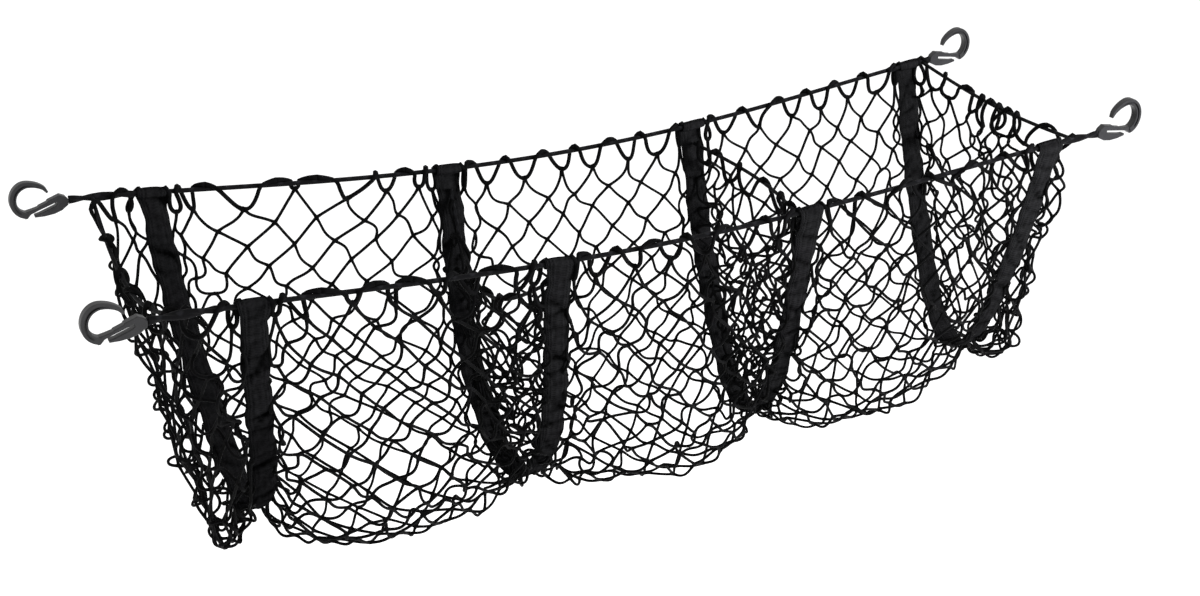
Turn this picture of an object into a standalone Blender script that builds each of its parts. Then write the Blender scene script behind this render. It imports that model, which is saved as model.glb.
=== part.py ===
"""Cargo net with three pouches, as it hangs level from four anchors.

Two long elastic cords run side by side along X and end in moulded hooks. Four
cloth sleeves hang from cord to cord in a U. Diamond netting fills the three
bays between the sleeves, closes both ends and makes the two dividers.

Units are metres, +Z is up, and the origin is the middle of the four cord ends.
The back cord is at +Y and the front one at -Y.
"""

import math
from dataclasses import dataclass

import bmesh
import bpy
import numpy as np

OBJECT_NAME = "cargo_net"
GAP = 0.0003

# Main cords
CORD_END_X = 0.540
CORD_HALF_SPACING = 0.1525
CORD_SAG = 0.034
CORD_BOW = 0.0146
CORD_RADIUS = 0.0025
CORD_END_SWELL = 1.4
CORD_SWELL_LENGTH = 0.018
CORD_POINTS = 35
BACK = 1
FRONT = -1

# Cloth sleeves
LOOP_HALF_THICKNESS = 0.0015
LOOP_RADIUS = CORD_RADIUS + GAP + LOOP_HALF_THICKNESS + 0.00005
LOOP_START_DEG = 80.0
LOOP_POINTS = 12
SLEEVE_HALF_THICKNESS = 0.0030
SLEEVE_THICKENS_OVER = 0.06
SLEEVE_JOIN_SHARE = 0.03
SLEEVE_POINTS = 48
SLEEVE_SHOULDER = 0.78

# Netting
STRAND = 0.0030
NET_THICKNESS = 0.0026
BAY_COLUMNS = 4
BAY_HALF_ROWS = 13
END_COLUMNS = 4
DIVIDER_COLUMNS = 3
PANEL_HALF_ROWS = 6
PANEL_FOOT_SHARE = 0.42
END_BULGE_LOW = 1.7
END_DROP_LOW = 3.0
POUCH_FULLNESS = 0.75
DIVIDER_TOP_SHARE = 0.030
SIDE_GAP = 0.0012
END_SIDE_GAP = 0.0014
HEM_HALF = 0.5

# Cross cords along the top of the end panels and dividers
CROSS_RADIUS = 0.0020
CROSS_END_SHARE = 0.03
CROSS_END_GAP = 0.0007

# Hooks, in the hook's own outline: u runs outwards along the cord, w is up
HOOK_THICKNESS = 0.0090
HOOK_SCALE = 1.12
HOOK_TILT_DEG = {"left": 6.0, "right": 16.0}
HOOK_ROOM = 0.0004
HOOK_DROP = -0.0010
THROAT_CENTRE = (0.0365, 0.0036)
THROAT_INNER_RADIUS = 0.0127
THROAT_OUTER_RADIUS = 0.0188
SEAT_HALF_DEG = 19.0

NET_BLACK = (0.010, 0.010, 0.012)
SLEEVE_BLACK = (0.012, 0.012, 0.014)
CORD_BLACK = (0.016, 0.016, 0.018)
HOOK_GREY = (0.055, 0.055, 0.062)


@dataclass(frozen=True)
class Station:
    """One sleeve: where its two tops sit on the cords, and how it hangs."""

    name: str
    back_x: float
    front_x: float
    length: float
    drift: float
    skew: float
    pinch: float
    shift: float
    width: float


STATIONS = (
    Station("1", -0.457, -0.444, 0.707, 0.027, -0.002, 0.13, 0.007, 0.025),
    Station("2", -0.133, -0.136, 0.724, 0.014, -0.012, 0.11, -0.004, 0.026),
    Station("3", 0.182, 0.160, 0.718, 0.015, 0.002, 0.15, -0.002, 0.026),
    Station("4", 0.506, 0.473, 0.733, -0.003, 0.006, 0.20, -0.012, 0.027),
)


@dataclass(frozen=True)
class Bay:
    """How far a pouch hangs out below its two sleeves, and where it is deepest."""

    name: str
    left: int
    bulge: float
    deepest: float


BAYS = (
    Bay("1", 0, 0.052, 0.32),
    Bay("2", 1, 0.044, 0.62),
    Bay("3", 2, 0.050, 0.45),
)


@dataclass(frozen=True)
class EndPanel:
    """An end closure: where its top cord meets each main cord, and how it hangs out."""

    name: str
    station: int
    outward: int
    back_x: float
    front_x: float
    sag: float
    bow: float
    bulge: float
    drop: float


END_PANELS = (
    EndPanel("left", 0, -1, -0.517, -0.497, 0.045, 0.010, 0.013, 0.082),
    EndPanel("right", 3, 1, 0.526, 0.506, 0.010, 0.004, 0.056, 0.072),
)


@dataclass(frozen=True)
class Divider:
    """A cross wall inside a sleeve: how its top cord sags and bows along X."""

    name: str
    station: int
    sag: float
    lean: float
    bow: float


DIVIDERS = (
    Divider("2", 1, 0.075, 0.8, -0.012),
    Divider("3", 2, 0.004, 1.0, 0.022),
)


def clear_scene():
    """Remove every object that the file opens with."""
    for thing in list(bpy.data.objects):
        bpy.data.objects.remove(thing, do_unlink=True)


def make_collection():
    """Return the collection that holds the parts."""
    parts = bpy.data.collections.new(OBJECT_NAME)
    bpy.context.scene.collection.children.link(parts)
    return parts


def make_material(name, colour, roughness):
    """Return a plain Principled material."""
    material = bpy.data.materials.new(name)
    material.use_nodes = True
    shader = material.node_tree.nodes["Principled BSDF"]
    shader.inputs["Base Color"].default_value = (*colour, 1.0)
    shader.inputs["Roughness"].default_value = roughness
    shader.inputs["Metallic"].default_value = 0.0
    return material


def add_object(name, data, parts, material):
    """Link an object with its own material and return it."""
    thing = bpy.data.objects.new(name, data)
    data.materials.append(material)
    parts.objects.link(thing)
    return thing


def smooth_step(value):
    """Ease from 0 to 1 while the value goes from 0 to 1."""
    held = min(max(value, 0.0), 1.0)
    return held * held * (3.0 - 2.0 * held)


def cord_centre(x, side):
    """Centre of a main cord at x: it sags, and the net draws it inwards."""
    inward = max(1.0 - (x / CORD_END_X) ** 2, 0.0)
    y = side * (CORD_HALF_SPACING - CORD_BOW * inward)
    z = -CORD_SAG * inward ** 1.5
    return np.array([x, y, z])


def cord_direction(x, side):
    """Direction of a main cord at x, for one metre along X."""
    step = 0.001
    return (cord_centre(x + step, side) - cord_centre(x - step, side)) / (2 * step)


def catenary_scale(span, rise, length):
    """Scale of the hanging chain of this length, found by halving."""
    target = math.sqrt(length ** 2 - rise ** 2) / span
    low, high = 1e-6, 30.0
    for _ in range(60):
        middle = 0.5 * (low + high)
        if math.sinh(middle) / middle < target:
            low = middle
        else:
            high = middle
    return span / (2.0 * low)


def sleeve_centre(station, share):
    """Point of a sleeve's centre line; share runs 0 at the back cord to 1."""
    back = cord_centre(station.back_x, BACK)
    front = cord_centre(station.front_x, FRONT)
    span = back[1] - front[1]
    rise = front[2] - back[2]
    scale = catenary_scale(span, rise, station.length)
    lowest = span / 2 - scale * math.atanh(rise / station.length)
    start = scale * math.sinh(-lowest / scale)
    across = scale * math.asinh((start + share * station.length) / scale) + lowest
    y = back[1] - across
    z = back[2] + scale * (math.cosh((across - lowest) / scale) - math.cosh(lowest / scale))
    hump = math.sin(math.pi * share) ** 2
    middle = 0.5 * (back[1] + front[1])
    y = middle + (y - middle) * (1.0 - station.pinch * hump) + station.shift * hump
    x = back[0] + (front[0] - back[0]) * share + station.drift * hump
    x += station.skew * math.sin(2 * math.pi * share) * math.sin(math.pi * share)
    return np.array([x, y, z])


def sleeve_outward(station, share):
    """Unit vector across the sleeve, in Y and Z, that points out of the pouch."""
    step = 0.004
    ahead = sleeve_centre(station, min(share + step, 1.0))
    behind = sleeve_centre(station, max(share - step, 0.0))
    along = ahead - behind
    outward = np.array([0.0, -along[2], along[1]])
    return outward / np.linalg.norm(outward)


def sleeve_path(station):
    """Centre line, outward and width directions and half thickness.

    Each end is a loop round its cord: it starts under the cord, goes up the
    inner side and over the top, and runs down into the hanging part.
    """
    rows = []
    for share, turn, x, side in ((0.0, 1.0, station.back_x, BACK), (1.0, -1.0, station.front_x, FRONT)):
        centre = sleeve_centre(station, share)
        outward = sleeve_outward(station, share)
        width = cord_direction(x, side)
        down = np.array([0.0, outward[2], -outward[1]]) * turn
        loop = []
        for angle in np.linspace(math.radians(LOOP_START_DEG), 2 * math.pi, LOOP_POINTS)[:-1]:
            radial = math.cos(angle) * outward + math.sin(angle) * down
            loop.append((centre + LOOP_RADIUS * radial, radial, width, LOOP_HALF_THICKNESS))
        rows.append(loop)
    hanging = []
    for share in np.linspace(0.0, 1.0, SLEEVE_POINTS):
        near_end = min(share, 1.0 - share)
        outward = sleeve_outward(station, share)
        beside_cord = math.exp(-(near_end / SLEEVE_JOIN_SHARE) ** 2)
        swell = smooth_step(near_end / SLEEVE_THICKENS_OVER)
        half = LOOP_HALF_THICKNESS + (SLEEVE_HALF_THICKNESS - LOOP_HALF_THICKNESS) * swell
        centre = sleeve_centre(station, share) + outward * LOOP_RADIUS * beside_cord
        width = np.array([1.0, 0.0, 0.0])
        for end_width, reach in ((rows[0][-1][2], share), (rows[1][-1][2], 1.0 - share)):
            width = width + (end_width - [1.0, 0.0, 0.0]) * math.exp(-(reach / SLEEVE_JOIN_SHARE) ** 2)
        hanging.append((centre, outward, width, half))
    return rows[0] + hanging + rows[1][::-1]


def make_sleeve(station, parts):
    """Loft a six-sided section along the sleeve's path and close both ends."""
    body = bmesh.new()
    half_width = station.width / 2
    rings = []
    for centre, outward, width, half in sleeve_path(station):
        section = (
            (half_width, 0.0),
            (half_width * SLEEVE_SHOULDER, half),
            (-half_width * SLEEVE_SHOULDER, half),
            (-half_width, 0.0),
            (-half_width * SLEEVE_SHOULDER, -half),
            (half_width * SLEEVE_SHOULDER, -half),
        )
        rings.append([body.verts.new(centre + width * x + outward * away) for x, away in section])
    sides = len(rings[0])
    for before, after in zip(rings[:-1], rings[1:]):
        for k in range(sides):
            following = (k + 1) % sides
            body.faces.new((before[k], before[following], after[following], after[k]))
    body.faces.new(rings[0])
    body.faces.new(rings[-1])
    bmesh.ops.recalc_face_normals(body, faces=body.faces)
    mesh = bpy.data.meshes.new("sleeve_" + station.name)
    body.to_mesh(mesh)
    body.free()
    material = make_material("sleeve_cloth_" + station.name, SLEEVE_BLACK, 0.9)
    return add_object("sleeve_" + station.name, mesh, parts, material)


def make_net(name, surface, columns, half_rows, parts):
    """Diamond netting on a surface of two shares, each from 0 to 1.

    Knots sit on a chequered grid. Each mesh of the net is a face, which is
    inset by half a strand and opened, and the frame that is left is thickened.
    Along the rim a mesh has extra points, so that the hem follows its edge.
    """
    net = bmesh.new()
    points = {}
    across = 2 * columns

    def point(i, j):
        if (i, j) not in points:
            points[i, j] = net.verts.new(surface(i / across, j / half_rows))
        return points[i, j]

    def inside(i, j):
        return 0 <= i <= across and 0 <= j <= half_rows

    openings = []
    for i in range(across + 1):
        for j in range(half_rows + 1):
            if (i + j) % 2 == 0:
                continue
            ring = []
            for step_i, step_j in ((-1, 0), (0, 1), (1, 0), (0, -1)):
                if inside(i + step_i, j + step_j):
                    ring.append(point(i + step_i, j + step_j))
                    continue
                for back_i, back_j in ((-step_j, step_i), (0, 0), (step_j, -step_i)):
                    half = HEM_HALF if (back_i, back_j) != (0, 0) else 1.0
                    place = (i + back_i * half, j + back_j * half)
                    if inside(*place) and point(*place) not in ring:
                        ring.append(point(*place))
            openings.append(net.faces.new(ring))
    bmesh.ops.recalc_face_normals(net, faces=net.faces)
    bmesh.ops.inset_individual(net, faces=openings, thickness=STRAND / 2, use_even_offset=True)
    bmesh.ops.delete(net, geom=openings, context="FACES")
    mesh = bpy.data.meshes.new(name)
    net.to_mesh(mesh)
    net.free()
    thing = add_object(name, mesh, parts, make_material(name + "_yarn", NET_BLACK, 0.85))
    thicken = thing.modifiers.new("thickness", "SOLIDIFY")
    thicken.thickness = NET_THICKNESS
    thicken.offset = 0.0
    thicken.use_even_offset = True
    return thing


def bay_surface(bay):
    """Surface of one pouch: sections like its sleeves', hung out in between."""
    left = STATIONS[bay.left]
    right = STATIONS[bay.left + 1]
    skew = math.log(0.5) / math.log(bay.deepest)

    def section(share_x, share):
        start = sleeve_centre(left, share)
        stop = sleeve_centre(right, share)
        start[0] += left.width / 2 + SIDE_GAP
        stop[0] -= right.width / 2 + SIDE_GAP
        return start + (stop - start) * share_x

    def surface(share_x, share):
        point = section(share_x, share)
        for side, end, weight in ((BACK, 0.0, (1 - share) ** 6), (FRONT, 1.0, share ** 6)):
            hung = section(share_x, end)
            seat = cord_centre(hung[0], side)
            seat[2] -= CORD_RADIUS + GAP
            point = point + (seat - hung) * weight
        outward = sleeve_outward(left, share) * (1 - share_x) + sleeve_outward(right, share) * share_x
        hump = max(math.sin(math.pi * share_x ** skew), 0.0)
        slack = hump ** POUCH_FULLNESS * math.sin(math.pi * share) ** 2
        return point + outward * bay.bulge * slack

    return surface


def four_sided(top, left, right, bottom):
    """Surface that fills four edge curves; the first share goes across."""

    def surface(across, down):
        level = top(across) * (1 - down) + bottom(across) * down
        upright = left(down) * (1 - across) + right(down) * across
        flat_top = top(0.0) * (1 - across) + top(1.0) * across
        flat_bottom = bottom(0.0) * (1 - across) + bottom(1.0) * across
        return level + upright - flat_top * (1 - down) - flat_bottom * down

    return surface


def below_cord(centre_line, share):
    """Point of a cross cord's hem: square to the cord, and under it."""
    step = 0.002
    along = centre_line(min(share + step, 1.0)) - centre_line(max(share - step, 0.0))
    along /= np.linalg.norm(along)
    down = np.array([0.0, 0.0, -1.0]) + along * along[2]
    return centre_line(share) + down / np.linalg.norm(down) * (CROSS_RADIUS + GAP)


def end_cord_centre(panel, share):
    """Centre line of an end panel's top cord, from the back cord to the front."""
    reach = CORD_RADIUS + CROSS_END_GAP
    back = cord_centre(panel.back_x, BACK) - np.array([0.0, reach, 0.0])
    front = cord_centre(panel.front_x, FRONT) + np.array([0.0, reach, 0.0])
    point = back + (front - back) * share
    hump = math.sin(math.pi * share)
    point[2] -= panel.sag * hump
    point[0] += panel.outward * panel.bow * hump
    return point


def end_surface(panel):
    """Surface of an end closure, from its top edge to the foot of the sleeve."""
    station = STATIONS[panel.station]
    beside = panel.outward * (station.width / 2 + END_SIDE_GAP)
    corner = 2 / (2 * END_COLUMNS)
    below_main = np.array([0.0, 0.0, -CORD_RADIUS - GAP])

    def top(across):
        if across <= corner:
            x = station.back_x + beside + (panel.back_x - station.back_x - beside) * across / corner
            return cord_centre(x, BACK) + below_main
        if across >= 1 - corner:
            x = station.front_x + beside + (panel.front_x - station.front_x - beside) * (1 - across) / corner
            return cord_centre(x, FRONT) + below_main
        share = (across - corner) / (1 - 2 * corner)
        return below_cord(lambda place: end_cord_centre(panel, place), share)

    def edge(share):
        point = sleeve_centre(station, share)
        point[0] += beside
        return point

    def left(down):
        point = edge(PANEL_FOOT_SHARE * down)
        return point + below_main * (1 - down) ** 4

    def right(down):
        point = edge(1 - PANEL_FOOT_SHARE * down)
        return point + below_main * (1 - down) ** 4

    def bottom(across):
        return edge(PANEL_FOOT_SHARE + (1 - 2 * PANEL_FOOT_SHARE) * across)

    flat = four_sided(top, left, right, bottom)

    def surface(across, down):
        middle = math.sin(math.pi * across)
        out = panel.bulge * middle * math.sin(math.pi * down ** END_BULGE_LOW)
        drop = panel.drop * middle * math.sin(math.pi * down ** END_DROP_LOW)
        return flat(across, down) + np.array([panel.outward * out, 0.0, -drop])

    return surface


def sleeve_inside(station, share, away):
    """Point that lies this far inside the sleeve's inner face."""
    outward = sleeve_outward(station, share)
    return sleeve_centre(station, share) - outward * (SLEEVE_HALF_THICKNESS + away)


def divider_cord_centre(divider, share):
    """Centre line of a divider's top cord, from the back of the sleeve."""
    station = STATIONS[divider.station]
    back = sleeve_inside(station, DIVIDER_TOP_SHARE, CROSS_END_GAP)
    front = sleeve_inside(station, 1 - DIVIDER_TOP_SHARE, CROSS_END_GAP)
    point = back + (front - back) * share
    point[2] -= divider.sag * math.sin(math.pi * share ** divider.lean)
    point[0] += divider.bow * math.sin(math.pi * share)
    return point


def divider_surface(divider):
    """Surface of a cross wall inside its sleeve."""
    station = STATIONS[divider.station]
    top_share = DIVIDER_TOP_SHARE + 0.008

    def top(across):
        share = CROSS_END_SHARE + (1 - 2 * CROSS_END_SHARE) * across
        return below_cord(lambda place: divider_cord_centre(divider, place), share)

    def left(down):
        share = top_share + (PANEL_FOOT_SHARE - top_share) * down
        return sleeve_inside(station, share, SIDE_GAP)

    def right(down):
        share = top_share + (PANEL_FOOT_SHARE - top_share) * down
        return sleeve_inside(station, 1 - share, SIDE_GAP)

    def bottom(across):
        share = PANEL_FOOT_SHARE + (1 - 2 * PANEL_FOOT_SHARE) * across
        return sleeve_inside(station, share, SIDE_GAP)

    def blend_left(down):
        return left(down) + (top(0.0) - left(0.0)) * (1 - down) ** 8

    def blend_right(down):
        return right(down) + (top(1.0) - right(0.0)) * (1 - down) ** 8

    return four_sided(top, blend_left, blend_right, bottom)


def make_cord(name, points, swells, radius, parts):
    """A round cord along a list of points."""
    curve = bpy.data.curves.new(name, "CURVE")
    curve.dimensions = "3D"
    curve.bevel_depth = radius
    curve.bevel_resolution = 2
    curve.use_fill_caps = True
    line = curve.splines.new("POLY")
    line.points.add(len(points) - 1)
    for knot, point, swell in zip(line.points, points, swells):
        knot.co = (*point, 1.0)
        knot.radius = swell
    return add_object(name, curve, parts, make_material(name + "_cord", CORD_BLACK, 0.8))


def make_main_cord(name, side, parts):
    """A main cord from hook to hook, doubled back on itself at both ends."""
    end = CORD_END_X - HOOK_ROOM
    swell_places = end - CORD_SWELL_LENGTH * np.array([0.0, 0.5, 1.0])
    middle = np.linspace(-end + CORD_SWELL_LENGTH, end - CORD_SWELL_LENGTH, CORD_POINTS)
    places = np.concatenate([-swell_places[:2], middle, swell_places[1::-1]])
    points = [cord_centre(x, side) for x in places]
    swells = []
    for x in places:
        inside = (end - abs(x)) / CORD_SWELL_LENGTH
        swells.append(1.0 + (CORD_END_SWELL - 1.0) * smooth_step(1.0 - inside))
    return make_cord(name, points, swells, CORD_RADIUS, parts)


def make_cross_cord(name, centre_line, shares, parts):
    """A thin cord along the top edge of a panel, with the hem's own points."""
    points = [centre_line(share) for share in shares]
    return make_cord(name, points, [1.0] * len(points), CROSS_RADIUS, parts)


def arc(radius, start_deg, stop_deg, count):
    """Points of an arc about the hook's throat."""
    angles = np.radians(np.linspace(start_deg, stop_deg, count))
    u, w = THROAT_CENTRE
    return [(u + radius * math.cos(a), w + radius * math.sin(a)) for a in angles]


def hook_outline():
    """Outline of the hook, clockwise from the ramp beside the cord."""
    ramp = [(0.0002, 0.0012), (0.0052, 0.0042), (0.0075, 0.0042), (0.0196, -0.0018), (0.0300, -0.0052)]
    inner = arc(THROAT_INNER_RADIUS, -88.0, -SEAT_HALF_DEG, 5) + arc(THROAT_INNER_RADIUS, SEAT_HALF_DEG, 96.0, 6)
    tip = [(0.0228, 0.0124), (0.0196, 0.0075), (0.0176, 0.0090), (0.0210, 0.0150)]
    outer = arc(THROAT_OUTER_RADIUS, 88.0, -62.0, 11)
    heel = [(0.0400, -0.0178), (0.0335, -0.0125), (0.0303, -0.0165)]
    leaf = [(0.0180, -0.0172), (0.0095, -0.0160), (0.0002, -0.0100)]
    return ramp + inner + tip + outer + heel + leaf


def hook_slot():
    """Narrow slot that the cord passes through."""
    return [(0.0270, -0.0122), (0.0262, -0.0098), (0.0112, -0.0052), (0.0100, -0.0075)]


def make_hook(name, side, outward, tilt, parts):
    """A moulded hook: its outline and slot, drawn out and tipped up by its tilt."""
    curve = bpy.data.curves.new(name, "CURVE")
    curve.dimensions = "2D"
    curve.fill_mode = "BOTH"
    curve.extrude = HOOK_THICKNESS / 2
    for outline in (hook_outline(), hook_slot()):
        line = curve.splines.new("POLY")
        line.use_cyclic_u = True
        line.points.add(len(outline) - 1)
        for knot, (u, w) in zip(line.points, outline):
            knot.co = (outward * u * HOOK_SCALE, w * HOOK_SCALE, 0.0, 1.0)
    hook = add_object(name, curve, parts, make_material(name + "_plastic", HOOK_GREY, 0.45))
    end = cord_centre(outward * CORD_END_X, side)
    hook.location = (end[0], end[1], end[2] + HOOK_DROP)
    hook.rotation_euler = (math.radians(90.0), -outward * tilt, 0.0)
    return hook


def main():
    """Build every piece."""
    clear_scene()
    parts = make_collection()
    make_main_cord("cord_back", BACK, parts)
    make_main_cord("cord_front", FRONT, parts)
    for station in STATIONS:
        make_sleeve(station, parts)
    for bay in BAYS:
        make_net("net_bay_" + bay.name, bay_surface(bay), BAY_COLUMNS, BAY_HALF_ROWS, parts)
    for panel in END_PANELS:
        make_net("net_end_" + panel.name, end_surface(panel), END_COLUMNS, PANEL_HALF_ROWS, parts)
        shares = np.linspace(0.0, 1.0, 2 * END_COLUMNS + 1)
        make_cross_cord("cross_cord_" + panel.name, lambda share, p=panel: end_cord_centre(p, share), shares, parts)
    for divider in DIVIDERS:
        make_net("net_divider_" + divider.name, divider_surface(divider), DIVIDER_COLUMNS, PANEL_HALF_ROWS, parts)
        hem = np.linspace(CROSS_END_SHARE, 1.0 - CROSS_END_SHARE, 4 * DIVIDER_COLUMNS + 1)
        shares = [0.0, *hem, 1.0]
        make_cross_cord("cross_cord_" + divider.name, lambda share, d=divider: divider_cord_centre(d, share), shares, parts)
    for side_name, side in (("back", BACK), ("front", FRONT)):
        for end_name, outward in (("left", -1), ("right", 1)):
            tilt = math.radians(HOOK_TILT_DEG[end_name])
            make_hook("hook_" + side_name + "_" + end_name, side, outward, tilt, parts)


main()
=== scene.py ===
"""Cargo net with three pouches: the finished look around the fixed frame.

Two braided elastic cords carry four gathered cloth sleeves, and knotted
netting fills the bays, the ends and the dividers. The netting is laid on the
same surfaces as its plain solids, then its strands are let hang: they keep
their length, bend softly and fall under their own weight.

Units are metres, +Z is up, the back cord is at +Y and the front one at -Y.
"""

import logging
import math
from dataclasses import dataclass, field
from enum import Enum
from typing import Callable

import bpy
import numpy as np
from mathutils import Matrix


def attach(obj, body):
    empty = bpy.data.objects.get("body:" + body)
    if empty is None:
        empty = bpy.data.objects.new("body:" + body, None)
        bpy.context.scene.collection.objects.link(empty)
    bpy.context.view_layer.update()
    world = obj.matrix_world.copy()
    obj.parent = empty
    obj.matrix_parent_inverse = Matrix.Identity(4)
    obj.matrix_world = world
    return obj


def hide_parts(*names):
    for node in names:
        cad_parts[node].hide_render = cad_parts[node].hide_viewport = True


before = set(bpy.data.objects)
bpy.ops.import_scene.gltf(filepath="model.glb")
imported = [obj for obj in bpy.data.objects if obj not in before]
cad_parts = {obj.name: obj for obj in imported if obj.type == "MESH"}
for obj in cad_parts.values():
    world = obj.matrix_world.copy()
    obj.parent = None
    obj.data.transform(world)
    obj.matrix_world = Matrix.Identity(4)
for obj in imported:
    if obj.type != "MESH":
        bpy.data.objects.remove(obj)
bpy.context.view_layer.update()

log = logging.getLogger("cargo_net")

Array = np.ndarray
Surface = Callable[[Array, Array], Array]
Carrier = Callable[[Array], Array]
Loops = tuple[tuple[float, ...], ...]
Vector = tuple[float, float, float]
Thing = bpy.types.Object
Material = bpy.types.Material
Socket = bpy.types.NodeSocket

BACK = 1
FRONT = -1
UP = np.array([0.0, 0.0, 1.0])
ALONG_X = np.array([1.0, 0.0, 0.0])
CROSS_CORD_GAP = 0.0007


# ---------------------------------------------------------------- materials


def linear(hex_colour: str) -> tuple[float, float, float, float]:
    """Turn an sRGB hex colour into linear red, green, blue and an alpha of one."""
    parts = [int(hex_colour[k:k + 2], 16) / 255.0 for k in (1, 3, 5)]
    flat = [p / 12.92 if p <= 0.04045 else ((p + 0.055) / 1.055) ** 2.4 for p in parts]
    return (flat[0], flat[1], flat[2], 1.0)


def node(
    tree: bpy.types.NodeTree, kind: str, links: dict | None = None, **settings: object
) -> bpy.types.Node:
    """Add one shader node with its settings and links.

    Args:
        tree: the material's node tree.
        kind: the node's type name.
        links: input name or number to a constant or to another node's output.
        settings: properties of the node itself.

    Returns:
        The new node.
    """
    made = tree.nodes.new(kind)
    for name, value in settings.items():
        setattr(made, name, value)
    for name, value in (links or {}).items():
        if isinstance(value, bpy.types.NodeSocket):
            tree.links.new(value, made.inputs[name])
        else:
            made.inputs[name].default_value = value
    return made


@dataclass
class Paint:
    """A material's node tree, with a short method for each kind of node."""

    tree: bpy.types.NodeTree
    shader: bpy.types.Node = field(init=False)
    solid: Socket = field(init=False)
    flat: Socket = field(init=False)

    def __post_init__(self) -> None:
        """Find the shader, and add the places in the solid and on its map."""
        self.shader = self.tree.nodes["Principled BSDF"]
        place = node(self.tree, "ShaderNodeTexCoord")
        self.solid, self.flat = place.outputs["Object"], place.outputs["UV"]

    def noise(
        self, scale: float, detail: float = 2.0, roughness: float = 0.5, at: Socket | None = None
    ) -> Socket:
        """Return a noise of so many cells a metre, in the solid or at a place."""
        vector = self.solid if at is None else at
        links = {"Vector": vector, "Scale": scale, "Detail": detail, "Roughness": roughness}
        return node(self.tree, "ShaderNodeTexNoise", links).outputs["Fac"]

    def wave(self, at: Socket, spacing_mm: float, direction: str, distortion: float = 0.0) -> Socket:
        """Return a wave whose bands are this far apart along the map's axes.

        The node's wave turns 20 radians in a unit of scale, or 10 along each
        axis if its bands are diagonal.
        """
        turned = 10.0 if direction == "DIAGONAL" else 20.0
        scale = 1000.0 * 2 * math.pi / turned / spacing_mm
        links = {"Vector": at, "Scale": scale, "Distortion": distortion}
        return node(self.tree, "ShaderNodeTexWave", links, bands_direction=direction).outputs["Fac"]

    def maths(self, operation: str, *values: Socket | float) -> Socket:
        """Return the result of one operation on two or three values."""
        return node(self.tree, "ShaderNodeMath", dict(enumerate(values)), operation=operation).outputs[0]

    def scaled_map(self, scale: Vector) -> Socket:
        """Return the place on the map, scaled."""
        return node(self.tree, "ShaderNodeMapping", {"Vector": self.flat, "Scale": scale}).outputs["Vector"]

    def bump(self, height: Socket, strength: float, depth: float) -> None:
        """Give the shader a relief of this depth."""
        links = {"Height": height, "Strength": strength, "Distance": depth}
        made = node(self.tree, "ShaderNodeBump", links)
        self.tree.links.new(made.outputs["Normal"], self.shader.inputs["Normal"])

    def tones(self, dark: str, light: str, factor: Socket, low: float, high: float) -> None:
        """Colour the shader: dark up to the low factor, and light from the high one."""
        ramp = node(self.tree, "ShaderNodeValToRGB", {"Fac": factor})
        for element, colour, position in zip(ramp.color_ramp.elements, (dark, light), (low, high)):
            element.color = linear(colour)
            element.position = position
        self.tree.links.new(ramp.outputs["Color"], self.shader.inputs["Base Color"])


@dataclass(frozen=True)
class Finish:
    """What every finish has: a name, two tones, its roughness and its gloss."""

    name: str
    dark: str
    light: str
    roughness: float
    specular: float = 0.5
    tone_range: tuple[float, float] = (0.35, 0.75)

    def make(self) -> Material:
        """Return the material, with its constants set and its pattern drawn."""
        material = bpy.data.materials.new(self.name)
        material.use_nodes = True
        paint = Paint(material.node_tree)
        inputs = paint.shader.inputs
        inputs["Base Color"].default_value = linear(self.dark)
        inputs["Roughness"].default_value = self.roughness
        inputs["Metallic"].default_value = 0.0
        inputs["Specular IOR Level"].default_value = self.specular
        paint.tones(self.dark, self.light, self.draw(paint), *self.tone_range)
        return material

    def draw(self, paint: Paint) -> Socket:
        """Draw a finish's own relief, and return the value that its tone follows."""
        raise NotImplementedError


@dataclass(frozen=True)
class BraidedYarn(Finish):
    """Braided polyester strand: matt, with a lay of fibres about 0.8 mm long.

    The lay is drawn as a fine noise bump, and a broader one shifts the tone,
    which gives the slight dusty unevenness of black cord.
    """

    fibre_mm: float = 0.8
    fibre_depth: float = 0.0004
    patches_per_m: float = 60.0

    def draw(self, paint: Paint) -> Socket:
        """Draw the lay, and return the dust."""
        paint.bump(paint.noise(1000.0 / self.fibre_mm), 0.5, self.fibre_depth)
        return paint.noise(self.patches_per_m, 4.0)


@dataclass(frozen=True)
class GatheredCloth(Finish):
    """Thin woven polyester, gathered: matt threads, with a painted highlight on the ridges.

    The weave is drawn coarser than it is, as two crossed waves of 3.1 mm along
    the sleeve's own map. The tone follows an attribute of the sleeve that is
    zero deep in a crease and one on a ridge: painted shade in the creases and a
    painted highlight on the ridges. A noise stretched along the sleeve breaks
    it into the streaks of worn, dusty cloth.
    """

    weave_mm: float = 3.1416
    weave_stray: float = 0.6
    puckers_per_m: float = 260.0
    pucker_depth: float = 0.0012
    streak: Vector = (420.0, 110.0, 1.0)
    # Share of the tone that is painted shade in the creases and a painted highlight on the ridges.
    ridge_part: float = 0.35
    streak_part: float = 0.80
    tone_range: tuple[float, float] = (0.42, 0.88)

    def draw(self, paint: Paint) -> Socket:
        """Draw the weave and the puckers, and return the tone: dusty streaks, painted shade in the creases
        and a painted highlight on the ridges.
        """
        warp, weft = (paint.wave(paint.flat, self.weave_mm, way, self.weave_stray) for way in "XY")
        pucker = paint.noise(self.puckers_per_m, 5.0, 0.6)
        relief = paint.maths("ADD", pucker, paint.maths("MULTIPLY", warp, weft))
        paint.bump(relief, 0.6, self.pucker_depth)
        dust = paint.noise(1.0, 8.0, 0.7, paint.scaled_map(self.streak))
        # Painted shade and highlight: the sleeve's attribute makes the creases darker and the ridges
        # lighter.
        fold = node(paint.tree, "ShaderNodeAttribute", attribute_name="fold").outputs["Fac"]
        ridge = paint.maths("MULTIPLY", fold, self.ridge_part)
        return paint.maths("MULTIPLY_ADD", dust, self.streak_part, ridge)


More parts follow.
